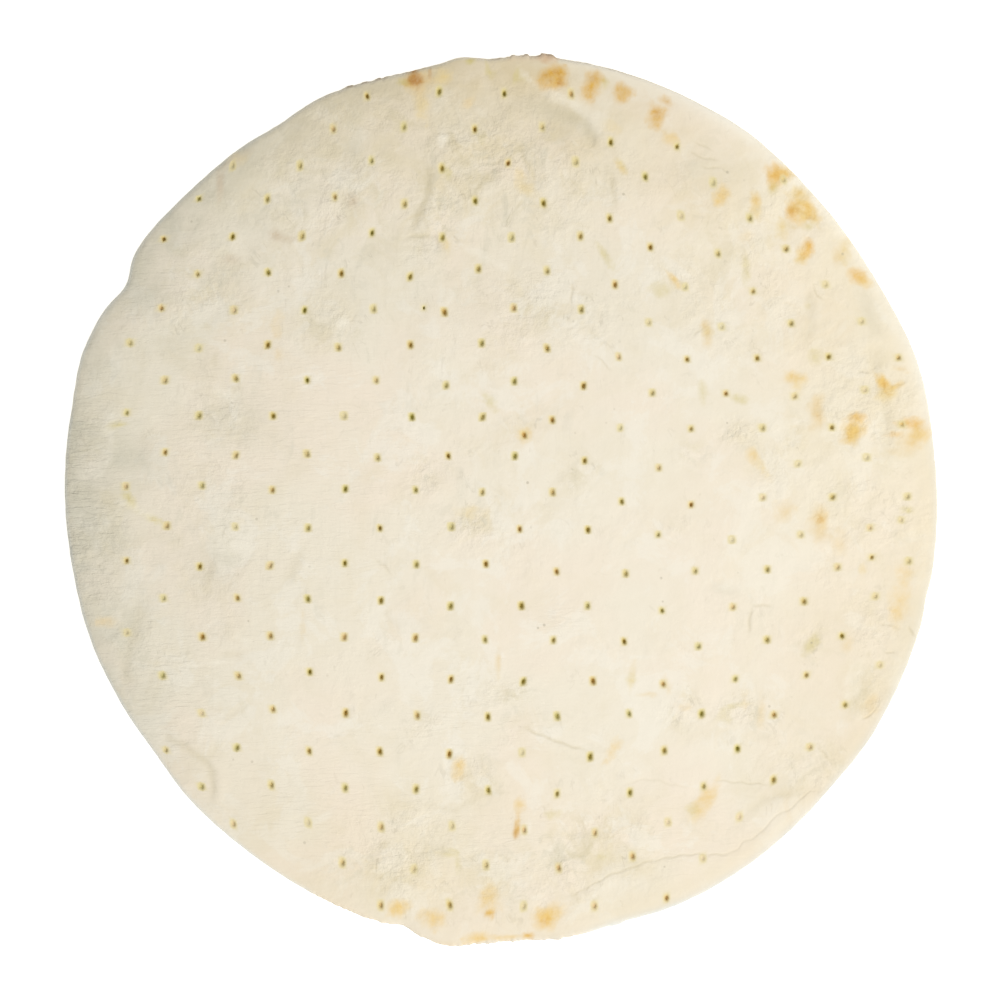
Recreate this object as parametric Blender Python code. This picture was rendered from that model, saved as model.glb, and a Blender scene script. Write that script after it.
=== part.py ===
"""Thin par-baked pizza crust: one docked round of dough with an uneven, slightly torn edge.

The crust lies flat on its underside with +Z up. The origin is under the middle of its
bounding box. Bearings are in degrees from +X, counter-clockwise as seen from above.
"""

import math
import random
from dataclasses import dataclass

import bmesh
import bpy
from mathutils import Vector
from mathutils.geometry import delaunay_2d_cdt

MM = 0.001

# Overall size
MEAN_RADIUS = 152.3
THICKNESS = 5.0

# How far the round is from a circle: (waves round the edge, height in mm, phase in degrees)
OUTLINE_WAVES = ((2, 1.6, 147.0), (3, 0.55, -158.0), (4, 0.85, 39.0))

# Swells and dents of the edge: (bearing, half width in degrees, height in mm)
OUTLINE_SWELLS = (
    (18.0, 8.6, 1.65),
    (56.0, 6.6, 0.8),
    (84.3, 1.1, 1.95),
    (91.2, 2.0, -1.05),
    (95.7, 1.7, 0.75),
    (103.0, 7.7, -1.4),
    (113.3, 5.6, 0.6),
    (120.8, 4.0, -1.05),
    (145.8, 7.7, 1.4),
    (150.5, 3.0, -3.2),
    (161.0, 5.1, 1.55),
    (199.3, 7.3, 0.9),
    (216.6, 5.2, -1.1),
    (219.0, 12.0, 1.0),
    (256.8, 1.6, -1.45),
    (262.8, 3.7, 2.4),
    (272.7, 3.4, -0.9),
    (285.5, 5.2, -1.4),
    (319.0, 10.4, -0.75),
    (326.0, 4.3, 0.5),
    (346.8, 1.8, -0.55),
)

# The rounded rim, from the underside up: (inset from the outline, height) in mm
RIM_PROFILE = ((1.3, 0.0), (0.35, 0.5), (0.0, 1.5), (0.25, 2.7), (1.0, 3.55))
RIM_TOP_INSET = 2.2
RIM_DROP = 1.0
RIM_WIDTH = 7.0
RIM_SEGMENTS = 180

# Slow swells and dips of the top: (x, y, spread, height) in mm
TOP_SWELLS = (
    (12.0, 132.0, 22.0, -0.5),
    (40.0, 126.0, 14.0, 0.35),
    (-120.0, 20.0, 40.0, -0.3),
    (-60.0, 70.0, 34.0, 0.25),
    (70.0, -20.0, 40.0, 0.3),
    (128.0, 30.0, 16.0, 0.3),
    (96.0, -112.0, 15.0, 0.35),
    (-20.0, -120.0, 26.0, -0.25),
    (-75.0, -75.0, 30.0, 0.3),
    (5.0, 20.0, 38.0, -0.2),
)
TOP_SPACING = 12.5

# Docking pits: oval cones that stop above the underside
PIT_HALF_WIDTH = 0.95
PIT_HALF_LENGTH = 1.4
PIT_DEPTH = 3.4
PIT_FLOOR_SHARE = 0.5
PIT_SIDES = 6
PIT_SIZE_SPREAD = 0.12
PIT_TILT_SPREAD = 12.0
PIT_WANDER = (0.45, 0.75)
PIT_EDGE_MARGIN = 3.9
PIT_SEED = 7

# Pits beside the pattern, where the docker struck twice: (x, y) in mm
STRAY_PITS = ((8.0, 22.4), (128.6, -20.0), (138.8, -7.1), (-26.8, 66.5))

# Pins that left no mark: (column, row) of the docking pattern
MISSING_PITS = ((7, 1), (5, 11))

DOUGH_COLOUR = (0.855, 0.783, 0.645, 1.0)
DOUGH_ROUGHNESS = 0.85


@dataclass(frozen=True)
class DockingPass:
    """One pass of the docking roller: a staggered grid, stretched a little with the dough.

    Each pair is an (x, y) step in mm: for a column, for a row, and for the products
    column * column, column * row and row * row, which bow and fan the grid.
    """

    columns: range
    start: tuple
    per_column: tuple
    per_row: tuple
    column_bow: tuple
    fan: tuple
    row_bow: tuple

    def place(self, column, row):
        """Where the pin of that column and row went in, as (x, y) in mm."""
        products = (1, column, row, column * column, column * row, row * row)
        steps = (self.start, self.per_column, self.per_row, self.column_bow, self.fan, self.row_bow)
        return tuple(sum(n * step[axis] for n, step in zip(products, steps)) for axis in (0, 1))


DOCKING_ROWS = range(-12, 13)
DOCKING_PASSES = (
    DockingPass(
        columns=range(-10, 4),
        start=(-6.2, 2.4),
        per_column=(12.07, -0.124),
        per_row=(-0.261, 12.82),
        column_bow=(-0.025, 0.002),
        fan=(-0.0246, 0.0206),
        row_bow=(-0.0113, -0.0171),
    ),
    DockingPass(
        columns=range(4, 13),
        start=(-6.7, -0.27),
        per_column=(12.146, -0.296),
        per_row=(-0.277, 12.66),
        column_bow=(0.0101, 0.0433),
        fan=(-0.0285, -0.0518),
        row_bow=(-0.0079, 0.0017),
    ),
)


def edge_radius(bearing):
    """Radius of the outline in mm at a bearing in degrees."""
    radius = MEAN_RADIUS
    for waves, height, phase in OUTLINE_WAVES:
        radius += height * math.cos(math.radians(waves * bearing + phase))
    for middle, half_width, height in OUTLINE_SWELLS:
        off = (bearing - middle + 180.0) % 360.0 - 180.0
        radius += height * math.exp(-((off / half_width) ** 2))
    return radius


def outline_point(bearing, inset=0.0):
    """A point of the outline, or inside it by inset, as (x, y) in mm about the pole."""
    radius = edge_radius(bearing) - inset
    angle = math.radians(bearing)
    return radius * math.cos(angle), radius * math.sin(angle)


def box_middle():
    """Middle of the outline's bounding box, which the origin is moved to."""
    ring = [outline_point(360.0 * k / RIM_SEGMENTS) for k in range(RIM_SEGMENTS)]
    return tuple((min(p[a] for p in ring) + max(p[a] for p in ring)) / 2 for a in (0, 1))


POLE = tuple(-c for c in box_middle())


def edge_distance(x, y):
    """How far a point lies inside the outline, in mm."""
    dx, dy = x - POLE[0], y - POLE[1]
    return edge_radius(math.degrees(math.atan2(dy, dx))) - math.hypot(dx, dy)


def top_height(x, y):
    """Height of the top surface in mm: level, gently uneven, and falling to the rim."""
    height = THICKNESS
    for at_x, at_y, spread, rise in TOP_SWELLS:
        height += rise * math.exp(-((x - at_x) ** 2 + (y - at_y) ** 2) / spread**2)
    near_edge = max(0.0, 1.0 - edge_distance(x, y) / RIM_WIDTH)
    return height - RIM_DROP * near_edge**2


def docking_places():
    """Every pit's middle, as (x, y) in mm, with the roller's small wander."""
    wander = random.Random(PIT_SEED)
    places = []
    for docking in DOCKING_PASSES:
        for row in DOCKING_ROWS:
            for column in docking.columns:
                off_x = max(-1.8, min(1.8, wander.gauss(0.0, 1.0))) * PIT_WANDER[0]
                off_y = max(-1.8, min(1.8, wander.gauss(0.0, 1.0))) * PIT_WANDER[1]
                if (column + row) % 2 or (column, row) in MISSING_PITS:
                    continue
                x, y = docking.place(column, row)
                places.append((x + off_x, y + off_y))
    places += STRAY_PITS
    return [place for place in places if edge_distance(*place) > PIT_EDGE_MARGIN]


def pit_mouth(middle, shape):
    """The pit's oval mouth as a ring of (x, y) points in mm, tilted and sized by shape."""
    size = 1.0 + shape.uniform(-PIT_SIZE_SPREAD, PIT_SIZE_SPREAD)
    tilt = math.radians(shape.uniform(-PIT_TILT_SPREAD, PIT_TILT_SPREAD))
    ring = []
    for k in range(PIT_SIDES):
        angle = math.tau * k / PIT_SIDES
        across = PIT_HALF_WIDTH * size * math.cos(angle)
        along = PIT_HALF_LENGTH * size * math.sin(angle)
        x = middle[0] + across * math.cos(tilt) - along * math.sin(tilt)
        y = middle[1] + across * math.sin(tilt) + along * math.cos(tilt)
        ring.append((x, y))
    return ring


def top_net(mouths):
    """Triangulates the top between the rim and the pit mouths.

    Returns the points as (x, y) in mm and the triangles outside every mouth. The rim's
    ring comes first among the points, then the mouths in order.
    """
    rim = []
    for k in range(RIM_SEGMENTS):
        x, y = outline_point(360.0 * k / RIM_SEGMENTS, RIM_TOP_INSET)
        rim.append((x + POLE[0], y + POLE[1]))
    points = rim + [point for mouth in mouths for point in mouth]
    loops = [list(range(RIM_SEGMENTS))]
    for first in range(RIM_SEGMENTS, len(points), PIT_SIDES):
        loops.append(list(range(first, first + PIT_SIDES)))
    reach = int(MEAN_RADIUS / TOP_SPACING) + 2
    row_step = TOP_SPACING * math.sqrt(3) / 2
    for row in range(-reach, reach + 1):
        for column in range(-reach, reach + 1):
            x = (column + 0.5 * (row % 2)) * TOP_SPACING
            y = row * row_step
            clear = all(
                math.hypot(x - mouth[0][0], y - mouth[0][1]) > 3.0 * PIT_HALF_LENGTH
                for mouth in mouths
            )
            if clear and edge_distance(x, y) > RIM_TOP_INSET + 0.4 * TOP_SPACING:
                points.append((x, y))
    inside_constraints = 1
    flat, _, faces, _, _, sources = delaunay_2d_cdt(
        [Vector(p) for p in points], [], loops, inside_constraints, 1e-6
    )
    if len(flat) != len(points):
        raise ValueError("two points of the top net fell together")
    around = [face for face, source in zip(faces, sources) if max(source) == 0]
    return [tuple(p) for p in flat], around


def build_mesh():
    """The whole crust as one closed bmesh, in metres."""
    shape = random.Random(PIT_SEED + 1)
    mouths = [pit_mouth(place, shape) for place in docking_places()]
    points, triangles = top_net(mouths)

    bm = bmesh.new()
    top = [bm.verts.new((x * MM, y * MM, top_height(x, y) * MM)) for x, y in points]
    for triangle in triangles:
        bm.faces.new([top[k] for k in triangle])

    # The rim, ring by ring from the underside up to the top's outer ring
    rings = []
    for inset, height in RIM_PROFILE:
        ring = []
        for k in range(RIM_SEGMENTS):
            x, y = outline_point(360.0 * k / RIM_SEGMENTS, inset)
            ring.append(bm.verts.new(((x + POLE[0]) * MM, (y + POLE[1]) * MM, height * MM)))
        rings.append(ring)
    rings.append(top[:RIM_SEGMENTS])
    for lower, upper in zip(rings, rings[1:]):
        for k in range(RIM_SEGMENTS):
            after = (k + 1) % RIM_SEGMENTS
            bm.faces.new((lower[k], lower[after], upper[after], upper[k]))
    bm.faces.new(list(reversed(rings[0])))

    # The pits: each mouth is closed with a face, drawn down and narrowed to its floor
    for first in range(RIM_SEGMENTS, RIM_SEGMENTS + len(mouths) * PIT_SIDES, PIT_SIDES):
        mouth = bm.faces.new(top[first : first + PIT_SIDES])
        floor = bmesh.ops.extrude_discrete_faces(bm, faces=[mouth])["faces"][0]
        middle = floor.calc_center_median()
        floor_height = middle.z - PIT_DEPTH * MM
        for vert in floor.verts:
            vert.co = middle.lerp(vert.co, PIT_FLOOR_SHARE)
            vert.co.z = floor_height

    bmesh.ops.recalc_face_normals(bm, faces=bm.faces)
    return bm


def dough_material():
    """Pale, dry dough skin."""
    material = bpy.data.materials.new("dough")
    material.use_nodes = True
    shader = material.node_tree.nodes["Principled BSDF"]
    shader.inputs["Base Color"].default_value = DOUGH_COLOUR
    shader.inputs["Roughness"].default_value = DOUGH_ROUGHNESS
    shader.inputs["Metallic"].default_value = 0.0
    return material


def make_crust():
    """Adds the crust to the scene as one object."""
    bm = build_mesh()
    mesh = bpy.data.meshes.new("crust")
    bm.to_mesh(mesh)
    bm.free()
    mesh.materials.append(dough_material())
    mesh.shade_smooth()
    mesh.set_sharp_from_angle(angle=math.radians(40.0))
    crust = bpy.data.objects.new("crust", mesh)
    bpy.context.scene.collection.objects.link(crust)
    return crust


for leftover in list(bpy.data.objects):
    bpy.data.objects.remove(leftover)
make_crust()
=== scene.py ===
"""Looks of a thin par-baked pizza crust: docked, floury, browned in spots, torn at its edge.

The crust is one sheet of dough. Its top starts as a flat grid that is rounded off to the
crust's outline, pricked with the docking roller's pits, creased, wrinkled and rolled over
at the rim. Places on the crust are in millimetres from the middle of its bounding box,
with +X to the right and +Y away. Bearings are in degrees from +X, counter-clockwise.
"""

import logging
import math
import random
from collections.abc import Iterator
from contextlib import contextmanager
from dataclasses import dataclass, field
from enum import Enum

import bmesh
import bpy
import numpy as np
from mathutils import Matrix, Vector, noise


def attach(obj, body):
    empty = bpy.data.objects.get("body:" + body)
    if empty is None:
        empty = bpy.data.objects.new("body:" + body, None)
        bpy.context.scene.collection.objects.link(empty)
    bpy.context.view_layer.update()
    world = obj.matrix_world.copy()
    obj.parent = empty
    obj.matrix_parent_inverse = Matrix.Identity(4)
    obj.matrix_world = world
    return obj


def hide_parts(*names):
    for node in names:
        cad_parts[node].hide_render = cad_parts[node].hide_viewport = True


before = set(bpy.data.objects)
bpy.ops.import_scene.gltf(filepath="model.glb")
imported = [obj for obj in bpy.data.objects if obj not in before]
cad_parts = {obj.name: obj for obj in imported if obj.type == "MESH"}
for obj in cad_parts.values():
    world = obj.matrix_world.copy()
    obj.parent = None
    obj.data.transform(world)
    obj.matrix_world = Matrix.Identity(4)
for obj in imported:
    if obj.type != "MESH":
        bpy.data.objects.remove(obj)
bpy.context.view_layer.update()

MM = 0.001
log = logging.getLogger("pizza_crust")

Array = np.ndarray
Point = tuple[float, float]
Colour = tuple[float, float, float]


def made(kind: type, *rows: tuple) -> tuple:
    """One object of a kind for each row of its sizes."""
    return tuple(kind(*row) for row in rows)


def linear(colour: Colour) -> tuple[float, float, float, float]:
    """Turns a display colour of 0 to 255 into a linear colour with alpha 1.

    Args:
        colour: Red, green and blue as seen on a screen.

    Returns:
        The same colour as shader values.
    """
    shares = [c / 255.0 for c in colour]
    values = [c / 12.92 if c <= 0.04045 else ((c + 0.055) / 1.055) ** 2.4 for c in shares]
    return values[0], values[1], values[2], 1.0


def smooth_step(value: Array, low: float, high: float) -> Array:
    """Rises smoothly from 0 at low to 1 at high.

    Args:
        value: Where to read the step.
        low: Value at which the step starts.
        high: Value at which it is complete.

    Returns:
        The step's height at each value.
    """
    share = np.clip((value - low) / (high - low), 0.0, 1.0)
    return share * share * (3.0 - 2.0 * share)


def bell(value: Array) -> Array:
    """1 at zero, and falling off smoothly on both sides."""
    return np.exp(-(value**2))


def turned(bearing: Array, middle: float) -> Array:
    """How far each bearing is turned from a middle one, from -180 to 180 degrees."""
    return (bearing - middle + 180.0) % 360.0 - 180.0


def within(bearing: Array, middle: float, half: float, fade: float) -> Array:
    """How far each bearing lies in a stretch of the edge.

    Args:
        bearing: Bearings in degrees.
        middle: Bearing of the stretch's middle.
        half: Half its length, in degrees.
        fade: Over how many degrees it fades beyond that.

    Returns:
        1 inside the stretch and 0 outside.
    """
    return 1.0 - smooth_step(np.abs(turned(bearing, middle)), half, half + fade)


# ---------------------------------------------------------------------------------------
# The round: outline, docking, relief and browning
# ---------------------------------------------------------------------------------------


@dataclass(frozen=True)
class EdgeTear:
    """A stretch of the edge where the dough tore or crumbled.

    Attributes:
        middle: Bearing of its middle.
        half: Half its length, in degrees.
        depth: How ragged the edge is there, in mm.
        scorch: How brown its thin lip is, from 0 to 1.
    """

    middle: float
    half: float
    depth: float
    scorch: float


@dataclass(frozen=True)
class Flap:
    """A flap of dough that sticks out, with a steep or a gentle end on either side.

    Attributes:
        low: Bearing of its first end.
        low_fade: Over how many degrees it rises there.
        high: Bearing of its other end.
        high_fade: Over how many degrees it falls there.
        height: How far it sticks out, in mm.
    """

    low: float
    low_fade: float
    high: float
    high_fade: float
    height: float

    def reach(self, bearing: Array) -> Array:
        """How far the flap sticks out at each bearing, in mm."""
        rise = smooth_step(bearing, self.low - self.low_fade, self.low)
        fall = 1.0 - smooth_step(bearing, self.high, self.high + self.high_fade)
        return self.height * rise * fall


@dataclass(frozen=True)
class Outline:
    """The crust's uneven outline, as a radius for each bearing about its pole.

    Attributes:
        mean_radius: Radius of the plain round, in mm.
        waves: Slow waves as (waves round the edge, height in mm, phase in degrees).
        swells: Swells and dents as (bearing, half width in degrees, height in mm).
        flaps: Flaps and crumbs of dough that stick out.
        tears: Ragged stretches.
        tear_fade: Over how many degrees a tear fades at its ends.
        scorch_fade: Over how many degrees its browning does.
        wobble: Height of the coarse and the fine wobble of the very edge, in mm.
        wobble_pace: How fast the coarse and the fine wobble change round the edge.
        wobble_ring: Radius of the ring of noise that they are read on.
        pole: Where the bearings start from.
    """

    mean_radius: float = 152.3
    waves: tuple = ((2, 1.6, 147), (3, 0.55, -158), (4, 0.85, 39))
    swells: tuple = (
        (18, 8.6, 1.65), (56, 6.6, 0.8), (84.3, 1.6, 0.4), (91.2, 2, -1.05), (95.7, 1.7, 0.75),
        (103, 7.7, -1.5), (113.3, 5.6, 0.6), (120.8, 4, -1.05), (145.8, 7.7, 1.4), (150.5, 3, -3.2),
        (161, 5.1, 1.55), (199.3, 7.3, 0.9), (216.6, 5.2, -1.1), (219, 12, 1), (256.8, 1.6, -1.45),
        (262.8, 3.7, 2.4), (272.7, 3.4, -0.9), (285.5, 5.2, -1.4), (308, 28, 0.3), (319, 10.4, -0.75),
        (326, 4.3, 0.5), (346.8, 1.8, -0.55),
    )
    flaps: tuple = made(
        Flap,
        (83.5, 0.9, 84.95, 0.2, 0.68), (86.75, 0.3, 87.05, 0.35, 0.6), (88.5, 0.3, 88.75, 0.3, 0.4),
        (103.9, 0.5, 105.4, 0.5, 0.12), (106.2, 0.12, 106.7, 0.7, 0.25), (108, 0.6, 108.6, 0.2, 0.15),
        (109.9, 0.12, 110.5, 1.1, 0.42), (284.5, 0.4, 285.6, 0.6, 0.55), (268.3, 0.5, 269.2, 0.3, 0.35),
        (271.4, 0.4, 272.6, 0.5, 0.3),
    )
    tears: tuple = made(
        EdgeTear,
        (77.5, 3, 0.14, 0.5), (86.8, 3.6, 0.26, 0.75), (106.5, 6, 0.1, 0.8), (253, 8, 0.24, 0.4),
        (271.5, 7, 0.42, 0.7),
    )
    tear_fade: float = 2
    scorch_fade: float = 3.5
    wobble: Point = (0.14, 0.05)
    wobble_pace: Point = (0.9, 2.6)
    wobble_ring: float = 40
    pole: Point = (0.42, 0.42)

    def radius(self, bearing: Array) -> Array:
        """Radius of the outline without its flaps and tears, in mm."""
        radius = np.full_like(bearing, self.mean_radius)
        for waves, height, phase in self.waves:
            radius += height * np.cos(np.radians(waves * bearing + phase))
        for middle, half_width, height in self.swells:
            radius += height * bell(turned(bearing, middle) / half_width)
        return radius

    def raggedness(self, bearing: Array) -> Array:
        """Flaps, tears and the slight wobble of the very edge, in mm.

        Args:
            bearing: Bearings in degrees.

        Returns:
            What is added to the radius at the edge and fades inwards.
        """
        angle = np.radians(bearing)
        ring = np.stack([np.cos(angle), np.sin(angle), np.zeros_like(angle)], axis=1) * self.wobble_ring
        coarse, fine = (
            np.array([noise.noise(Vector(place) * pace) for place in ring]) for pace in self.wobble_pace
        )
        ragged = self.wobble[0] * coarse + self.wobble[1] * fine
        for flap in self.flaps:
            ragged += flap.reach(bearing)
        for tear in self.tears:
            share = within(bearing, tear.middle, tear.half, self.tear_fade)
            ragged += tear.depth * share * (fine + 0.6 * coarse - 0.1)
        return ragged

    def scorch(self, bearing: Array) -> Array:
        """How brown the thin lip of the edge is at each bearing, from 0 to 1."""
        return np.maximum.reduce([
            tear.scorch * within(bearing, tear.middle, tear.half, self.scorch_fade) for tear in self.tears
        ])

    def torn(self, bearing: Array) -> Array:
        """Whether each bearing lies in a tear or near a flap."""
        return self.scorch(bearing) > 0.05

    def bearing(self, x: Array, y: Array) -> Array:
        """Bearing of each place in degrees, from 0 to 360."""
        return np.degrees(np.arctan2(y - self.pole[1], x - self.pole[0])) % 360.0

    def inside(self, x: Array, y: Array) -> Array:
        """How far each place lies inside the smooth outline, in mm."""
        reach = np.hypot(x - self.pole[0], y - self.pole[1])
        return self.radius(self.bearing(x, y)) - reach


@dataclass(frozen=True)
class Rim:
    """How the top falls to the edge: tight all round, and wide and low where it sagged.

    Attributes:
        drop: Least fall of the top, in mm.
        width: Over what width it falls, in mm.
        sag_bearing: Bearing of the side that sagged.
        sag_drop: How much further the top falls there, in mm.
        sag_width: How much wider the fall is there, in mm.
        bead: Height of the rounded bead just inside the edge, in mm.
        bead_inset: How far inside the edge the bead runs, in mm.
        bead_width: Half its width, in mm.
        bead_run: Its middle, half its length and the fade at its ends, in degrees.
        profile: The side from the top's edge down, as (inset in mm, share of the height).
    """

    drop: float = 0.3
    width: float = 3
    sag_bearing: float = 150
    sag_drop: float = 1.8
    sag_width: float = 16
    bead: float = 0.08
    bead_inset: float = 4.4
    bead_width: float = 1.6
    bead_run: tuple = (335, 50, 20)
    profile: tuple = (
        (0.75, 0.95), (0.27, 0.84), (0.05, 0.63), (0, 0.38), (0.2, 0.15), (0.7, 0.03), (1.4, 0),
    )

    def sag(self, bearing: Array) -> Array:
        """How far the rim sagged at each bearing, from 0 to 1."""
        return (0.5 + 0.5 * np.cos(np.radians(bearing - self.sag_bearing))) ** 1.5

    def fall(self, inside: Array, bearing: Array) -> Array:
        """How far the top lies below its level, in mm."""
        sag = self.sag(bearing)
        near = np.clip(1.0 - inside / (self.width + self.sag_width * sag), 0.0, 1.0)
        ridge = self.bead * within(bearing, *self.bead_run)
        ridge *= bell((inside - self.bead_inset) / self.bead_width)
        return (self.drop + self.sag_drop * sag) * near**2 - ridge


@dataclass(frozen=True)
class DockingPass:
    """One pass of the docking roller: a staggered grid, stretched with the dough.

    Each pair is an (x, y) step in mm: for a column, for a row, and for the products
    column * column, column * row and row * row, which bow and fan the grid.
    """

    columns: range
    start: Point
    per_column: Point
    per_row: Point
    column_bow: Point
    fan: Point
    row_bow: Point

    def place(self, column: int, row: int) -> Point:
        """Where the pin of that column and row went in, in mm."""
        products = (1, column, row, column * column, column * row, row * row)
        steps = (self.start, self.per_column, self.per_row, self.column_bow, self.fan, self.row_bow)
        x, y = (sum(n * step[axis] for n, step in zip(products, steps)) for axis in (0, 1))
        return x, y


@dataclass(frozen=True)
class Pit:
    """One docking pit.

    Attributes:
        x: Place of its middle, in mm.
        y: Place of its middle, in mm.
        half_width: Half its mouth's width, in mm.
        half_length: Half its mouth's length, in mm.
        tilt: How far the mouth's length is turned from +Y, in radians.
        depth: Depth below the skin, in mm.
        strength: How dark it baked, from 0 to 1.
        warmth: 0 for an olive brown pit and 1 for an orange brown one.
    """

    x: float
    y: float
    half_width: float
    half_length: float
    tilt: float
    depth: float
    strength: float
    warmth: float


@dataclass(frozen=True)
class Side:
    """A side of the crust, where the pits baked in another way.

    Attributes:
        x: Where it starts along x, in mm.
        low_y: Where it starts along y, in mm.
        high_y: Where it ends along y, in mm.
        faint: How much fainter the pits are.
        warm: How much warmer they are.
    """

    x: float
    low_y: float
    high_y: float
    faint: float
    warm: float

    def holds(self, x: float, y: float) -> bool:
        """Whether a place lies on this side."""
        return x > self.x and self.low_y < y < self.high_y


@dataclass(frozen=True)
class DockingPattern:
    """All the pits that the docking roller left in two passes.

    Attributes:
        passes: The roller's passes.
        rows: Rows of pins that cross the crust.
        strays: Double pricks beside the pattern, as (x, y, size, warmth).
        missing: Pins that left no mark, as (column, row).
        sides: Sides where the pits are fainter or warmer.
        half_width: Half a pit mouth's width, in mm.
        half_length: Half a pit mouth's length, in mm.
        depth: A pit's depth, in mm.
        uneven: By what share a pit may be larger or smaller.
        short: How much shorter the mouths are right of short_x.
        short_x: Where the shorter mouths start, in mm.
        fade: Where the pits are darkest along x and how far off they are faint, in mm,
            and how faint they are there.
        bake: Mean and spread of the pits' strength.
        least: The least strength.
        lean: Mean and spread of the mouths' tilt, in degrees.
        wander: How far a pin strays along x and y, in mm.
        wander_most: The most that a pin strays, as a multiple of the wander.
        edge_margin: The least distance of a pit from the outline, in mm.
        seed: Seed of the wander.
    """

    passes: tuple = made(
        DockingPass,
        (range(-10, 4), (-6.2, 2.4), (12.07, -0.124), (-0.261, 12.82), (-0.025, 0.002),
         (-0.0246, 0.0206), (-0.0113, -0.0171)),
        (range(4, 13), (-6.7, -0.27), (12.146, -0.296), (-0.277, 12.66), (0.0101, 0.0433),
         (-0.0285, -0.0518), (-0.0079, 0.0017)),
    )
    rows: range = range(-12, 13)
    strays: tuple = (
        (8, 22.4, 0.95, 1), (128.6, -20, 0.85, 0.5), (138.8, -7.1, 0.8, 0.4), (-26.8, 66.5, 0.45, 0),
    )
    missing: tuple = ((7, 1), (5, 11))
    sides: tuple = made(
        Side,
        (100, -200, 200, 0.12, 0.3), (-200, 105, 200, 0.12, 0), (-200, -200, -105, 0.4, 0.4),
        (60, 60, 200, 0.15, 0), (30, -200, -110, 0, 0.3),
    )
    half_width: float = 0.8
    half_length: float = 1.32
    depth: float = 2
    uneven: float = 0.14
    short: float = 0.14
    short_x: float = 50
    fade: tuple = (-15, 150, 0.45)
    bake: Point = (0.85, 0.26)
    least: float = 0.14
    lean: Point = (6, 8)
    wander: Point = (0.45, 0.75)
    wander_most: float = 1.8
    edge_margin: float = 3.4
    seed: int = 7

    def pits(self, outline: Outline) -> list[Pit]:
        """Lists the pits that lie well inside the outline.

        Args:
            outline: The crust's outline.

        Returns:
            The pits, pass by pass and row by row, and then the strays.
        """
        wander = random.Random(self.seed)
        looks = random.Random(self.seed + 1)
        most = self.wander_most
        found = []
        for docking in self.passes:
            for row in self.rows:
                for column in docking.columns:
                    off_x, off_y = (
                        max(-most, min(most, wander.gauss(0.0, 1.0))) * far for far in self.wander
                    )
                    if (column + row) % 2 or (column, row) in self.missing:
                        continue
                    x, y = docking.place(column, row)
                    found.append(self._pit(x + off_x, y + off_y, 1.0, looks.random(), looks))
        for x, y, size, warmth in self.strays:
            found.append(self._pit(x, y, size, warmth, looks))
        clear = outline.inside(*np.array([(pit.x, pit.y) for pit in found]).T) > self.edge_margin
        return [pit for pit, kept in zip(found, clear) if kept]

    def _pit(self, x: float, y: float, size: float, warmth: float, looks: random.Random) -> Pit:
        """Gives one pit its own size, lean and bake; pits are fainter towards the rim."""
        size *= 1.0 + looks.uniform(-self.uneven, self.uneven)
        sides = [side for side in self.sides if side.holds(x, y)]
        middle, off, most = self.fade
        faint = most * (abs(x - middle) / off) ** 1.5 + sum(side.faint for side in sides)
        strength = max(self.least, min(1.0, looks.gauss(*self.bake) - faint))
        length = self.half_length * size * (1.0 - self.short * (x > self.short_x))
        return Pit(
            x=x,
            y=y,
            half_width=self.half_width * size * (1.15 - 0.15 * strength),
            half_length=length * (1.02 - 0.02 * strength),
            tilt=math.radians(looks.gauss(*self.lean)),
            depth=self.depth * (0.12 + 0.88 * strength),
            strength=strength,
            warmth=min(1.0, warmth**1.7 + sum(side.warm for side in sides)),
        )


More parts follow.
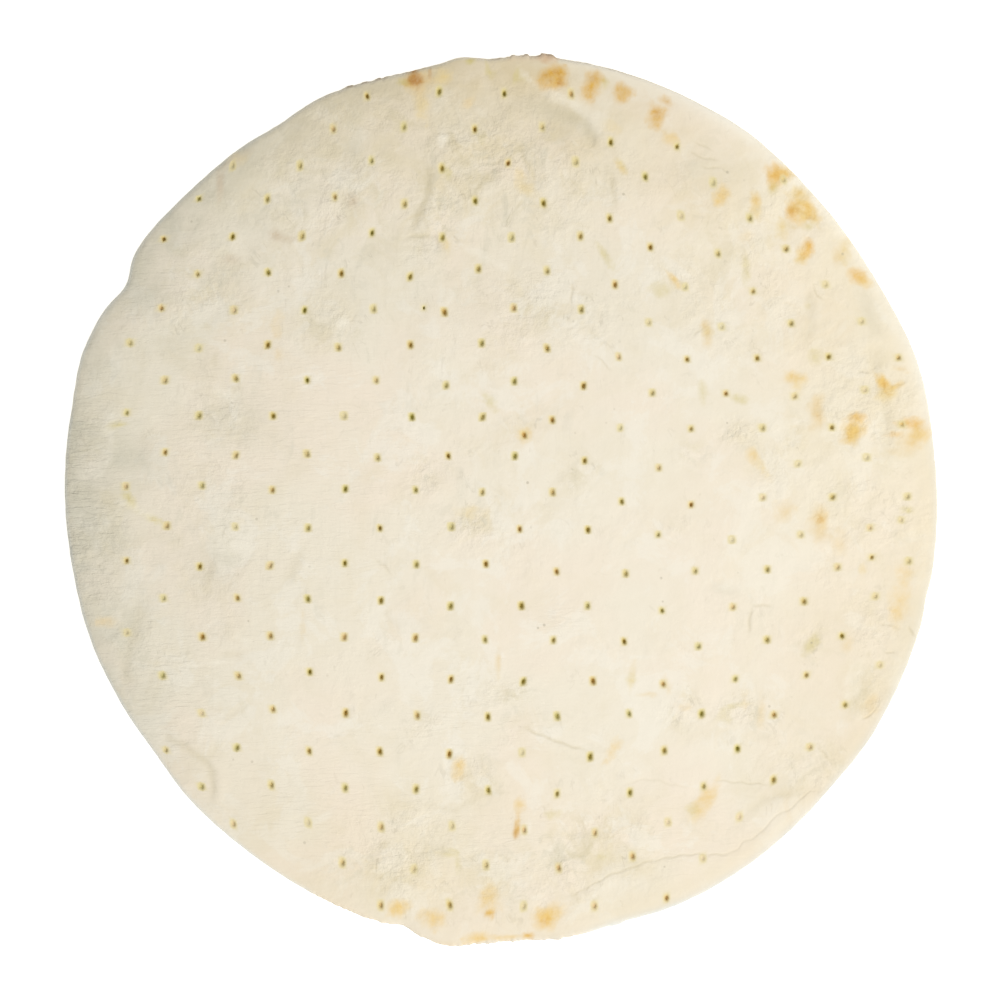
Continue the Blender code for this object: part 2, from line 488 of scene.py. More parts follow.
@dataclass(frozen=True)
class Crease:
    """A crease or a soft fold along a line.

    Attributes:
        points: Places that the line runs through, in mm.
        width: Half width of its groove, in mm.
        depth: Depth of the groove, in mm.
        lip: Height of the soft lip on its left side, in mm.
        lip_width: How wide that lip is, in mm.
        groove_shade: How much painted shade darkens the groove, from 0 to 1.
        wobble: How far the line strays from its points, in mm.
        fade: Over what length it fades at its ends, in mm.
    """

    points: tuple
    width: float
    depth: float
    lip: float
    lip_width: float
    groove_shade: float
    wobble: float = 0.22
    fade: float = 5

    def measure(self, x: Array, y: Array) -> tuple[Array, Array, Array]:
        """Distances to the line.

        Args:
            x: Places in mm.
            y: Places in mm.

        Returns:
            The distance to the line, the signed distance (positive on its left), and the
            fade that takes the crease to nothing at its two ends.
        """
        wobble_x = self.wobble * np.sin(0.9 * y + 1.7 * np.sin(0.31 * x))
        wobble_y = self.wobble * np.sin(1.1 * x + 1.3 * np.sin(0.37 * y))
        x, y = x + wobble_x, y + wobble_y
        line = self._smoothed()
        lengths = np.hypot(*(line[1:] - line[:-1]).T)
        total = lengths.sum()
        nearest = np.full(x.shape, np.inf)
        signed = np.zeros(x.shape)
        along = np.zeros(x.shape)
        run = 0.0
        for start, end, length in zip(line[:-1], line[1:], lengths):
            step = (end - start) / length
            share = np.clip((x - start[0]) * step[0] + (y - start[1]) * step[1], 0.0, length)
            dx, dy = x - start[0] - share * step[0], y - start[1] - share * step[1]
            distance = np.hypot(dx, dy)
            closer = distance < nearest
            nearest = np.where(closer, distance, nearest)
            signed = np.where(closer, distance * np.sign(step[0] * dy - step[1] * dx), signed)
            along = np.where(closer, run + share, along)
            run += length
        fade = min(self.fade, total / 3.0)
        held = smooth_step(along, 0.0, fade) * (1.0 - smooth_step(along, total - fade, total))
        return nearest, signed, 0.15 + 0.85 * held

    def _smoothed(self) -> Array:
        """The line's points with its corners cut off twice."""
        line = np.array(self.points, float)
        for _ in range(2):
            first, second = line[:-1], line[1:]
            inner = np.stack([0.75 * first + 0.25 * second, 0.25 * first + 0.75 * second], axis=1)
            line = np.concatenate([line[:1], inner.reshape(-1, 2), line[-1:]])
        return line

    def height(self, x: Array, y: Array) -> Array:
        """Groove and lip at each place, in mm."""
        distance, signed, fade = self.measure(x, y)
        groove = -self.depth * bell(distance / self.width)
        beside = np.maximum(signed, 0.0) / self.lip_width
        lip = self.lip * beside * np.exp(1.0 - beside)
        return (groove + lip * bell(distance / (3.0 * self.lip_width))) * fade


@dataclass(frozen=True)
class Oval:
    """An oval place on the crust.

    Attributes:
        x: Middle, in mm.
        y: Middle, in mm.
        size_x: Size along its first axis, in mm.
        size_y: Size along its second axis, in mm.
        strength: How strong it is there, from 0 to 1, or how high, in mm.
        angle: How far it is turned, in degrees.
    """

    x: float
    y: float
    size_x: float
    size_y: float
    strength: float
    angle: float = 0

    def shares(self, x: Array, y: Array) -> tuple[Array, Array]:
        """Places as shares of the sizes along the oval's own two axes."""
        turn = math.radians(self.angle)
        dx, dy = x - self.x, y - self.y
        along = (dx * math.cos(turn) + dy * math.sin(turn)) / self.size_x
        across = (-dx * math.sin(turn) + dy * math.cos(turn)) / self.size_y
        return along, across


@dataclass(frozen=True)
class Patch(Oval):
    """A soft patch, as of a texture or a height, that has fallen off by its sizes."""

    def weight(self, x: Array, y: Array) -> Array:
        """The patch's strength at each place."""
        along, across = self.shares(x, y)
        return self.strength * np.exp(-(along**2) - across**2)


def strongest(patches: tuple, x: Array, y: Array, least: float = 0.0) -> Array:
    """The strongest of several patches at each place, and never under the least share."""
    return np.maximum.reduce([np.full(x.shape, least), *(patch.weight(x, y) for patch in patches)])


class Bake(Enum):
    """Colours of the oven and the flour, and painted shade and light on the rim and the left side."""

    GOLD = (227, 194, 122)
    AMBER = (225, 181, 98)
    OCHRE = (214, 171, 84)
    RUST = (174, 116, 42)
    STRAW = (225, 202, 146)
    OLIVE = (207, 193, 136)
    CHALK = (236, 229, 212)
    BLUSH = (225, 202, 158)
    CLAY = (202, 162, 120)
    HUSK = (202, 187, 163)
    # Painted shade: darkens the rim where the key light strikes it.
    PAINTED_RIM_SHADE = (188, 194, 196)
    ASH = (234, 238, 236)
    # Painted light: brightens the rim where it faces away from the key light.
    PAINTED_RIM_LIGHT = (246, 242, 230)
    TAN = (212, 196, 162)
    BUTTER = (236, 222, 192)
    # Partly painted shade, of the left side, the upper-left rim and the folds, and partly greyer dough.
    SAGE = (198, 193, 174)


@dataclass(frozen=True)
class BakedSpot(Oval):
    """A soft spot of colour with a frayed edge, across the full sizes of its oval.

    Attributes:
        bake: Its colour.
        fray: How ragged its edge is.
    """

    bake: Bake = Bake.GOLD
    fray: float = 0.7

    def weight(self, x: Array, y: Array) -> Array:
        """The spot's strength at each place."""
        along, across = (2.0 * share for share in self.shares(x, y))
        reach = along**2 + across**2
        near = np.nonzero(reach < 9.0)[0]
        frays = [Vector((1.2 * along[k] + self.x, 1.2 * across[k] + self.y, 0.5)) for k in near]
        reach[near] *= 1.0 + self.fray * np.array([noise.noise(fray) for fray in frays])
        return self.strength * np.exp(-0.55 * np.maximum(reach, 0.0) ** 1.2)


def spots(rows_by_bake: dict[Bake, tuple]) -> tuple[BakedSpot, ...]:
    """Spots from rows of (x, y, width, height, strength, angle) for each colour."""
    return tuple(BakedSpot(*row, bake=bake) for bake, rows in rows_by_bake.items() for row in rows)


@dataclass(frozen=True)
class EdgeBand:
    """A band of colour along the edge.

    Attributes:
        middle: Bearing of its middle.
        half: Half its length, in degrees.
        fade: Over how many degrees it fades at its ends.
        width: How far in it reaches, in mm.
        power: 1 for a long soft tail, and more for a sharper inner side.
        strength: How far the dough takes its colour, from 0 to 1.
        bake: Its colour.
    """

    middle: float
    half: float
    fade: float
    width: float
    power: float
    strength: float
    bake: Bake

    def weight(self, inside: Array, bearing: Array) -> Array:
        """The band's strength at each place."""
        reach = np.maximum(inside, 0.0) / self.width
        run = within(bearing, self.middle, self.half, self.fade)
        return self.strength * run * np.exp(-(reach**self.power))


def blend(layers: list[tuple[Array, Bake]]) -> Array:
    """Blends colours into one colour and weight for each place.

    Args:
        layers: Pairs of a weight for each place and the colour it goes with.

    Returns:
        Rows of linear red, green and blue, and the weight of all layers together.
    """
    total = np.full(len(layers[0][0]), 1e-6)
    rows = np.outer(total, linear(Bake.GOLD.value))
    clear = np.ones(len(rows))
    for weight, bake in layers:
        rows[:, :3] += weight[:, None] * np.array(linear(bake.value)[:3])
        total += weight
        clear *= 1.0 - np.clip(weight, 0.0, 1.0)
    rows[:, :3] /= total[:, None]
    rows[:, 3] = 1.0 - clear
    return rows


# Slow rises and dips of the top, in mm
SWELLS = made(
    Patch,
    (16, 133, 20, 10, -0.55), (38, 128, 14, 8, 0.3), (-20, 128, 14, 12, 0.25), (-150, 0, 26, 90, -0.7),
    (-110, 95, 30, 24, -0.5, 45), (-60, 70, 34, 30, 0.2), (70, -20, 40, 40, 0.2), (128, 30, 12, 26, 0.25),
    (96, -112, 22, 9, 0.3, 45), (-20, -120, 30, 20, -0.2), (-75, -75, 30, 30, 0.2), (5, 20, 38, 38, -0.15),
)

# Each row: the points, the groove's half width, depth, lip, lip width and painted shade in the groove.
CREASES = made(
    Crease,
    # The long crease at the lower right: a soft step up to the rim, then a thin line
    (((111.9, -101.3), (106.8, -100.6), (101.5, -106.6), (94.2, -110.3), (91.5, -113.6), (88.2, -117.2),
     (84.2, -118.6), (81.6, -121.2), (79.5, -122.9), (73.6, -123.4)), 0.35, 0.08, 0.1, 2.6, 0.2),
    (((80, -122.4), (73.6, -123.4), (66.3, -122.9), (59.6, -123.9), (49.3, -125.9), (44.5, -128.1),
     (37.9, -130.1), (29.5, -134.7), (22.6, -138.5)), 0.26, 0.13, 0.06, 2.6, 0.52),
    (((112, -91.5), (106, -95), (103, -98.5)), 0.75, 0.08, 0.08, 2, 0.25),
    (((41.4, -99.7), (49, -96.8), (55.8, -97.6), (59.2, -99.3), (66.9, -99.4)), 0.4, 0.06, 0.03, 2, 0.2),
    (((72.8, -97.2), (82, -98.2), (94, -98.9)), 0.28, 0.1, 0.04, 2, 0.45),
    (((86.9, -104.1), (95, -103), (103.9, -101.3)), 1, 0.2, 0.1, 2.5, 0.4),
    (((82, -114), (86.5, -106.5), (95, -102.5)), 1, 0.12, 0.08, 2.5, 0.25),
    (((-29.2, -105.5), (-21.9, -106.2), (-16.7, -107.9), (-11.8, -105.5), (-6.3, -101.6), (3.1, -102)),
     0.75, 0.12, 0.04, 1.6, 0.3),
    # Right rim
    (((140.7, -44), (143.9, -47.4)), 0.4, 0.25, 0.1, 1.5, 0.6),
    (((132.7, -52.6), (137.3, -53.3)), 0.35, 0.15, 0.05, 1.5, 0.4),
    (((129.3, 52.5), (129.6, 42), (133, 34), (133.6, 24), (134.6, 15)), 1.3, 0.26, 0.14, 3, 0.25),
    (((125.4, 69.3), (127.5, 63.1), (131.7, 58.2), (133, 54)), 0.9, 0.14, 0.14, 2.2, 0.1),
    (((106.6, 74.5), (107.8, 62.4), (105.9, 53.7)), 1.4, 0.16, 0.1, 2.4, 0.3),
    (((107.6, 74.4), (109.3, 71.4), (111.9, 69)), 0.32, 0.12, 0.05, 1.4, 0.5),
    (((129.5, -42.6), (134, -43.4), (139.5, -45)), 0.4, 0.14, 0.06, 1.6, 0.4),
    (((124.8, -76.6), (128.5, -74.2), (130.3, -71.5)), 0.35, 0.15, 0.05, 1.4, 0.5),
    (((109.8, -86.2), (112.5, -87.6), (113.6, -91)), 0.35, 0.14, 0.05, 1.5, 0.45),
    # The small T of creases right of the middle
    (((86.9, -36.7), (86.2, -42), (85.8, -47.1)), 0.5, 0.12, 0.05, 1.6, 0.5),
    (((86.2, -36.3), (90.5, -36.9), (94.5, -36.7)), 0.5, 0.1, 0.04, 1.6, 0.4),
    (((123.4, 44.3), (127.9, 44.3)), 0.5, 0.15, 0.05, 1.6, 0.3),
    # Top: the dark fold left of the middle and soft folds beside it
    (((-26.4, 117), (-24.6, 110.6), (-25.8, 104.4), (-29.2, 98.2), (-30.8, 92.4)), 1, 0.3, 0.16, 2.6, 0.75),
    (((24.7, 76), (24.3, 67)), 0.45, 0.12, 0.05, 1.6, 0.4),
    (((-33.7, 90.7), (-27, 92), (-23.3, 90.5)), 0.7, 0.2, 0.1, 2, 0.4),
    (((11, 138.6), (18, 136.4), (26, 132.6), (31, 127.8), (32.2, 121)), 1.6, 0.3, 0.26, 3.4, 0.6),
    (((37.4, 114.6), (39.4, 107), (39.2, 100)), 0.8, 0.16, 0.1, 2.2, 0.6),
    (((63.9, 121.6), (67.5, 119.4), (72.3, 117.9), (76.5, 117.6)), 0.32, 0.1, 0.05, 1.4, 0.5),
    (((66, 124.4), (70, 122.8), (74, 120.6)), 0.32, 0.1, 0.05, 1.4, 0.45),
    (((68, 116), (73, 114.8), (77.5, 115.4)), 0.32, 0.1, 0.05, 1.4, 0.4),
    (((57, 77.6), (61.4, 76.2), (63.6, 73.6)), 0.32, 0.1, 0.05, 1.4, 0.3),
    (((70.6, 60), (68, 58.4), (66.6, 56.2)), 0.32, 0.1, 0.04, 1.4, 0.4),
    (((30.8, 50.6), (34.6, 48.6), (38.8, 44.2)), 0.32, 0.1, 0.04, 1.4, 0.35),
    (((-54, 106.8), (-51.6, 104.6), (-51, 101.8)), 0.32, 0.12, 0.05, 1.4, 0.6),
    # Lower middle
    (((6.3, -78.4), (14.9, -82.2), (21, -84.6), (30, -87.2)), 0.45, 0.2, 0.1, 1.8, 0.55),
    (((-45.2, -19.6), (-41.4, -22.4), (-37.9, -26.2)), 0.5, 0.14, 0.06, 1.8, 0.3),
    # Left, in the shade
    (((-99, 51.3), (-99.2, 45.3)), 0.9, 0.14, 0.06, 1.6, 0.4),
    (((-122, -35.6), (-126.8, -41.9), (-128.4, -50.6), (-131, -56.5), (-128.6, -66)), 1.8, 0.2, 0.12, 2.6,
     0.32),
    (((-68.5, -15), (-72.2, -24), (-75.6, -30.5)), 1.7, 0.16, 0.1, 2.8, 0.28),
    (((-134.5, 1.5), (-130.5, -1.6), (-124.8, -4.6), (-118, -7.6)), 1.1, 0.12, 0.14, 2, 0.1),
    (((-99.7, -18.9), (-102.5, -33.5)), 1.3, 0.14, 0.06, 2.2, 0.35),
    (((-98.7, -53.3), (-87.6, -54)), 1, 0.12, 0.05, 2, 0.3),
    (((-118.5, -80.6), (-111.5, -84.6), (-103.9, -89.5), (-101.1, -92.5), (-99.8, -97.5), (-100.4, -105)),
     1.2, 0.26, 0.16, 2.6, 0.45),
    (((-101.5, -90.5), (-99.4, -86.5), (-97, -83)), 0.9, 0.12, 0.1, 2, 0.3),
)

# Fine wrinkles that run across the crust
WRINKLED = made(
    Patch,
    (-149, 0, 22, 50, 1.3), (-120, -70, 30, 46, 0.85), (-125, 75, 34, 30, 0.6), (-90, 10, 60, 80, 0.6),
    (-70, -105, 50, 26, 0.6), (-8, -122, 50, 20, 0.5), (20, -42, 12, 5, 0.7), (-10, -75, 40, 22, 0.45),
    (60, -118, 40, 20, 0.35), (0, 75, 60, 40, 0.25),
)

# Soft grey smears that run up and down the crust
SMEARED = made(
    Patch,
    (-2, 112, 38, 34, 0.95), (-60, 60, 70, 60, 0.55), (-80, -20, 60, 60, 0.6), (-10, 20, 60, 60, 0.35),
    (40, 60, 40, 60, 0.4), (95, -40, 50, 50, 0.35), (0, -100, 70, 30, 0.3),
)

# Where the skin is rougher than elsewhere
ROUGH = made(
    Patch,
    (2, 118, 48, 34, 1.5), (-38, 138, 44, 16, 1.6), (-24, 102, 14, 22, 1.7), (-60, 105, 60, 40, 1.15),
    (-110, 75, 34, 34, 1.1), (90, 90, 50, 50, 1.05), (128, 15, 28, 60, 1.1), (-10, -134, 70, 20, 0.85),
    (-36, -126, 26, 16, 1.3), (30, -122, 28, 22, 1.35), (-150, 0, 30, 60, 1.3), (95, -90, 40, 40, 0.6),
    # Small flaky patches
    (2, -67, 12, 6, 1.6), (16, 66, 36, 19, 1.15), (-9, -95, 12, 10, 1.2), (-9, -9, 12, 9, 1.3),
    (26, 9, 10, 10, 1.3), (-26, 9, 10, 10, 1.1), (-128, -54, 16, 20, 1.3), (110, -94, 14, 14, 1.2),
    (-103, -17, 26, 62, 0.7), (-96, 30, 15, 18, 1.05), (-26, -78, 12, 10, 1), (8, -78, 13, 11, 0.9),
    (129, -45, 15, 28, 0.95), (94, 8, 13, 14, 0.95), (60, -9, 10, 10, 0.6), (-35, -113, 22, 14, 1),
    (8, 26, 13, 13, 0.9), (-10, 10, 70, 80, 0.55), (-40, -60, 50, 40, 0.5), (107.7, -50.5, 8, 8, 1.3),
    (62, -72, 9, 9, 1.3), (84, -75, 10, 8, 1.5), (-59, 62, 15, 12, 1.4), (82, 24, 9, 6, 1.5),
    (101.5, 22, 8, 8, 1.5), (65.7, 16, 8, 6, 1.4), (125, 8, 6, 8, 1.4), (126, -66, 9, 12, 1.5),
)

EDGE_BANDS = made(
    EdgeBand,
    # The sage bands at bearings 172 and 122 paint the shade of the left side and of the upper-left rim.
    (187, 98, 24, 0.8, 2, 0.75, Bake.ASH), (172, 22, 44, 17, 0.9, 0.72, Bake.SAGE),
    (122, 14, 18, 9, 1, 0.8, Bake.SAGE), (101, 15, 12, 14, 1, 0.7, Bake.TAN),
    (88, 12, 14, 26, 1.2, 0.45, Bake.TAN), (318, 44, 16, 8.5, 4, 0.25, Bake.BUTTER),
    # The grey band at bearing 325 paints shade on the lower-right rim, where the key light strikes it.
    (15, 30, 16, 16, 1.5, 0.4, Bake.BUTTER), (325, 36, 40, 1.5, 1.4, 0.85, Bake.PAINTED_RIM_SHADE),
    # The white band at bearing 49 paints light on the upper-right rim, which faces away from the key light.
    (320, 60, 28, 9, 2, 0.12, Bake.TAN), (49, 32, 14, 3.2, 1.4, 0.85, Bake.PAINTED_RIM_LIGHT),
    (271.5, 8, 3, 1.4, 2, 0.35, Bake.AMBER), (254, 8, 3, 1, 2, 0.35, Bake.AMBER),
    (86.2, 2.6, 1, 1.8, 2, 0.7, Bake.CLAY),
)

# Soft tints of whole areas; the sage ones are mostly painted shade, of the left side and its dimples and of
# the fold at the top.
BROAD_SPOTS = spots({
    Bake.TAN: (
        (8, 128, 86, 50, 0.28), (8.3, 148, 20, 11, 0.62), (66, 112, 34, 20, 0.25), (113, 60, 22, 20, 0.2),
        (-75, -118, 60, 34, 0.2, -30), (-30, -128, 80, 36, 0.08), (-9, 147, 18, 10, 0.35),
        (122, -74, 40, 60, 0.16, -35), (100.8, -101, 13, 4, 0.35), (60.5, 130, 20, 16, 0.16),
        (-9, 78, 20, 18, 0.13), (112.6, -43.6, 20, 18, 0.13),
    ),
    # Mostly painted shade: the left side and its dimples, and the fold at the top; a few are greyer dough.
    Bake.SAGE: (
        (19, 134.6, 17, 5, 0.4, -20), (29.6, 129, 9, 4.6, 0.42, -48), (0, 138, 22, 12, 0.2),
        (-90, 95, 90, 60, 0.1, 40), (-20, 72, 100, 30, 0.14), (-110, 0, 90, 150, 0.14),
        (146, -44, 16, 26, 0.25), (-62, 113, 64, 24, 0.16), (-50.7, 126, 5, 16, 0.35),
        (-124, 71, 20, 9, 0.18), (70, 114, 28, 12, 0.2), (127.5, 65, 5, 13, 0.4, 20),
        (78, -31.5, 8, 3.4, 0.35), (8.3, 130, 18, 16, 0.16), (-26.4, 130, 18, 18, 0.16),
        (-127, 13.7, 16, 14, 0.3), (-130.3, 14.8, 10, 6, 0.4), (-139, -7, 20, 30, 0.3),
        (-144.6, 27.6, 12, 30, 0.35), (-150, 12, 6, 44, 0.38), (-92, 27.6, 20, 14, 0.3),
        (-99.4, -22.8, 14, 22, 0.25), (-129, -45, 16, 20, 0.3),
    ),
    Bake.CHALK: (
        (55, -25, 100, 120, 0.25), (60.5, 8.5, 18, 18, 0.15),
    ),
    Bake.BUTTER: (
        (95, 95, 80, 50, 0.35, -45), (120, 10, 60, 110, 0.3),
    ),
    Bake.STRAW: (
        (-26.4, -130.5, 22, 18, 0.16), (-87, 113, 36, 18, 0.12, 35), (10, -122, 110, 36, 0.05),
    ),
})

BAKED_SPOTS = spots({
    Bake.OCHRE: (
        (19.3, 148.6, 5, 3.8, 1), (18.4, 145.5, 6.6, 4.4, 1), (14.8, 145.2, 3.2, 3.6, 0.85),
        (32.3, 146, 4.6, 4.6, 0.8), (31.1, 142.4, 4.8, 5, 0.7), (30.6, 139.2, 3.2, 3.6, 0.46),
        (41.6, 141.4, 4, 4.6, 0.78), (44.4, 141.8, 3.4, 2.8, 0.62), (41.9, 138.8, 3.2, 2.6, 0.5),
        (54.1, 133.6, 5, 5.8, 0.66), (57.3, 138.2, 4, 2.4, 0.6, -35), (53.6, 130, 3.6, 3, 0.4),
        (-3.9, -143.8, 2.8, 1.9, 0.8), (9.7, -151.4, 3, 1.8, 0.7), (101, 100.4, 2.2, 3.4, 0.6),
        (5.6, -113.8, 1.8, 6.4, 0.72, -8),
    ),
    Bake.AMBER: (
        (94.7, 112.2, 4.2, 6.4, 0.7), (101, 100, 3, 5, 0.84), (106.4, 87.9, 3.4, 4, 0.88),
        (123.2, 78, 4, 4.2, 0.72), (123.5, 28.5, 5, 2.4, 0.65), (142, 26.5, 6.6, 3, 0.78),
        (133.2, 39.9, 1.8, 3.4, 0.55, 38), (136.2, 22.6, 3.4, 1.6, 0.6), (14.8, -146, 4, 3.4, 0.4, 25),
    ),
    Bake.RUST: (
        (-29.9, 145.4, 4, 3.4, 1), (-29.7, 145.6, 3.2, 2.8, 1.6), (-24.6, 147.9, 1.1, 2.8, 0.65),
        (-30.1, 148.6, 1.8, 1.2, 0.7), (19.4, 149, 1.8, 1.3, 0.6), (15.2, 146.8, 1.4, 1.6, 0.5),
        (20.8, 144.6, 1.5, 1.2, 0.5), (32, 145.6, 1.8, 1.3, 0.4), (57.4, 138, 1.6, 1.1, 0.2),
        (54.2, 134.2, 2, 1.4, 0.2), (5.2, -115.8, 1.2, 2.6, 0.42),
    ),
    Bake.CLAY: ((16, 153.4, 6, 2.4, 0.7),),
    Bake.HUSK: (
        (-97.4, 108.6, 2.4, 9, 0.7, -6), (-91.6, 118.4, 2, 11, 0.55, -60), (-78, 91.6, 4.4, 3.2, 0.75, -25),
        (-73.4, 90.2, 6, 1.8, 0.55), (-51.4, 103.6, 3.4, 4, 0.6), (-93.6, 83.4, 6, 2.6, 0.5),
        (-22, 90, 1.6, 4.4, 0.5, 25),
    ),
    Bake.GOLD: (
        (58.9, 125, 4.4, 4.2, 0.62), (97.8, 113.2, 5.4, 4.2, 0.68), (104.8, 102.6, 7.6, 5, 0.68, -40),
        (107.8, 99.4, 5, 3.4, 0.6, -35), (103.6, 96.6, 3.8, 4, 0.55, 30), (104.8, 85.2, 3.4, 4.2, 0.85),
        (76.8, 106, 3.8, 4.4, 0.75), (75.6, 103.4, 3.6, 3.2, 0.45), (88.4, 103.8, 3.2, 4.6, 0.72),
        (125.8, 75.8, 4.6, 3.4, 0.55, -40), (101.5, 42.2, 6, 3.2, 0.66), (136.6, 39.2, 6, 1.7, 0.75, 16),
        (132.7, 40.3, 2.6, 5.8, 0.85, 36), (60.1, 76.3, 2.2, 6.6, 0.45, 40),
        (41.7, 115.2, 1.8, 5.2, 0.4, 38), (122, 24.5, 5.2, 7.6, 0.86, -12), (119.9, 20.6, 4.6, 2.8, 0.6),
        (145.5, 22.5, 5.2, 6.6, 0.66, -30), (87, 15.2, 3.4, 5.4, 0.45, 15), (111, -6.6, 3, 4.4, 0.55),
        (138.3, -36.7, 6, 13, 0.4, -8), (139.7, -24.5, 6, 5, 0.3), (8, 22.4, 3.6, 4.2, 0.7),
        (-29.6, 145, 7, 5.4, 0.5), (-36.1, -142, 5.4, 5.2, 0.78), (-23.9, -145.5, 7, 5.2, 0.58, -20),
        (-4.4, -138.8, 6.2, 7.4, 0.52), (15.1, -145.6, 6.6, 5.8, 0.58), (18.8, -142.8, 7.4, 4.6, 0.46, 30),
        (-14.6, -93.6, 4.4, 6.2, 0.6), (6.3, -106.2, 3.4, 4.4, 0.48), (38.9, -87, 3.4, 8.4, 0.42, -32),
        (71.2, -104.4, 4.6, 11, 0.56, -28), (-8.7, -152, 7.2, 2.6, 0.66, 16), (0.7, -152, 8.4, 1.6, 0.5, 5),
    ),
    Bake.STRAW: (
        (38.6, 129, 3.4, 6, 0.4, 70), (103.9, 105.9, 5, 3.4, 0.65), (104.8, 99, 8, 1.6, 1, -38),
        (103.5, 83, 2.8, 3, 0.55), (88.2, 99.4, 3.4, 4.4, 0.55), (97.4, 93.8, 3.8, 4.8, 0.6),
        (119.2, 87, 3.8, 7, 0.6), (103.2, 39.2, 3.6, 4, 0.45), (134.2, 36.6, 4.6, 4.8, 0.6),
        (132.6, 36.2, 4.2, 2.6, 0.55), (125.8, -23.9, 3, 4, 0.35), (-20.4, 147, 5, 5.4, 0.6),
        (-27.2, 136.4, 4.6, 7.4, 0.55), (9.6, 107.4, 5.4, 3.2, 0.55, -25), (6.6, 111.5, 3.2, 5.4, 0.5),
        (-91, 118.3, 5, 4, 0.42), (45.4, -61, 2.2, 8, 0.4, -8), (-19.3, 88.6, 2.2, 5.6, 0.5, 20),
        (90.8, 10.6, 2, 7, 0.45, 35), (-10.1, -4.7, 9, 5, 0.3),
    ),
    Bake.OLIVE: (
        (36.1, 144.4, 2.6, 2.6, 0.8), (41.7, 116, 2, 6, 0.35, 38), (94.3, 107.8, 3, 3.6, 0.65),
        (106.7, 94.6, 2.4, 2, 0.75), (55.2, 73, 6.2, 5, 0.36), (85, 79.6, 2.6, 8.4, 0.5),
        (82.5, 34.8, 5.4, 2.8, 0.55, -25), (69.9, 37.2, 2.4, 7.6, 0.42), (109.2, 49.6, 4.6, 4.6, 0.52),
        (106.2, 66.6, 2.4, 3, 0.25), (107.4, -50.4, 3.8, 7.4, 0.55, -35), (77.4, -75.4, 5, 4.6, 0.36),
        (80.6, -71.6, 7, 1.8, 0.4, 15), (66.4, -107.4, 4.4, 4, 0.4), (141, -3.5, 4, 2.2, 0.5),
        (-33.6, 144.6, 3.6, 2, 0.75, -15), (-10.6, 152.4, 2.6, 1.4, 0.85), (-4.4, 149, 1.6, 5, 0.62, 14),
        (-2.6, 147.4, 3, 1.4, 0.5), (5.4, 147.4, 1.8, 5, 0.6, -12), (6.8, 145.2, 2.8, 1.6, 0.5),
        (-6.6, 125.6, 2.6, 2.8, 0.5), (-19, 113.4, 3, 4.2, 0.5, 30), (35.8, 85, 2.6, 9, 0.42, 35),
        (-3.5, 33.5, 3, 6, 0.48, 30), (-133.1, 25.9, 5, 1.8, 0.75, 10), (-129.2, 0.4, 2.8, 6.4, 0.65, 35),
        (-120.6, -6.8, 5, 1.8, 0.6, -25), (-19, -122.4, 6, 2, 0.5), (-15, -126.6, 2, 5.6, 0.42),
        (18.1, -109.3, 4.4, 3, 0.5), (45.5, -62, 3.6, 3.6, 0.3), (35.1, -123.2, 4, 4, 0.3),
        (71.7, 58.2, 3, 3, 0.3),
    ),
    Bake.BLUSH: (
        (116.2, 84.6, 2.6, 5.4, 0.55), (84.8, 91.4, 4.4, 3, 0.4), (71.2, 60.5, 3.2, 4.2, 0.6),
        (71.6, 56.2, 3, 6.4, 0.6), (109.6, 30.4, 4.4, 9.4, 0.75), (138.7, 45.2, 4.2, 1.5, 0.6, -10),
        (140.4, 18.6, 8, 6, 0.48), (98.3, -4, 5.6, 6.2, 0.55), (110.5, -8.2, 6.2, 8.6, 0.72),
        (117.8, -15.1, 4.6, 7.4, 0.48), (128.2, -71.1, 4.4, 7, 0.5, -30), (84.6, -69, 1.9, 6.6, 0.4),
        (90.2, -74, 2.4, 9, 0.42), (119.9, -50.6, 3.4, 5.2, 0.48), (-1, -56.8, 1.6, 9, 0.5),
        (51, -67.6, 5.6, 1.6, 0.4), (57.5, -64, 2.4, 6, 0.4, 15), (63.4, -72.2, 4.4, 1.8, 0.45),
        (-68.6, -44.8, 1.6, 7.6, 0.42), (-26.3, 146.6, 5, 3.6, 0.45), (-28.6, 141.2, 3, 4.4, 0.55),
        (-11.5, 137.8, 4.6, 2.6, 0.5, 30), (-77.5, 60.4, 3.6, 8.4, 0.4), (-77, 50, 3, 4.4, 0.32),
        (-137, -42.4, 6.4, 3.2, 0.55),
    ),
    Bake.CHALK: (
        (18.6, 140.8, 9, 3.8, 0.36, -20), (27.6, 136.4, 8.4, 3.6, 0.38, -30), (34.2, 131.4, 4.8, 5, 0.38),
        (9, 146.6, 1.8, 5.6, 0.52, 42), (-20.2, 124.9, 3.2, 3.8, 0.6), (-95, 36.3, 8.4, 3.6, 0.4, -10),
        (-91.4, 30.2, 2.6, 7.6, 0.36, 15), (-94.2, -16.9, 11.6, 5.2, 0.36), (-136.6, 22, 4.4, 19, 0.34, -8),
        (-143, 9.6, 8, 4.2, 0.34, 30), (-124.6, -4.4, 13, 1.9, 0.52, -32), (-89.5, -49, 5.4, 3, 0.36, -40),
        (-100.2, -56.6, 15, 1.8, 0.4, 6), (-133, -41, 3.6, 5.4, 0.3), (131.4, 26, 4.6, 13, 0.34),
        (122.8, -63.3, 5, 13, 0.42, -10), (82.4, -30.2, 12, 4.4, 0.36), (-5.6, 83.9, 19, 2.6, 0.4, -25),
        (134.4, 62, 2.6, 13, 0.42, 38), (9.4, -113.4, 2.2, 5, 0.5, -6), (-55, 61.5, 5, 3, 0.4),
    ),
})


# ---------------------------------------------------------------------------------------
# Finishes
# ---------------------------------------------------------------------------------------

Socket = bpy.types.NodeSocket


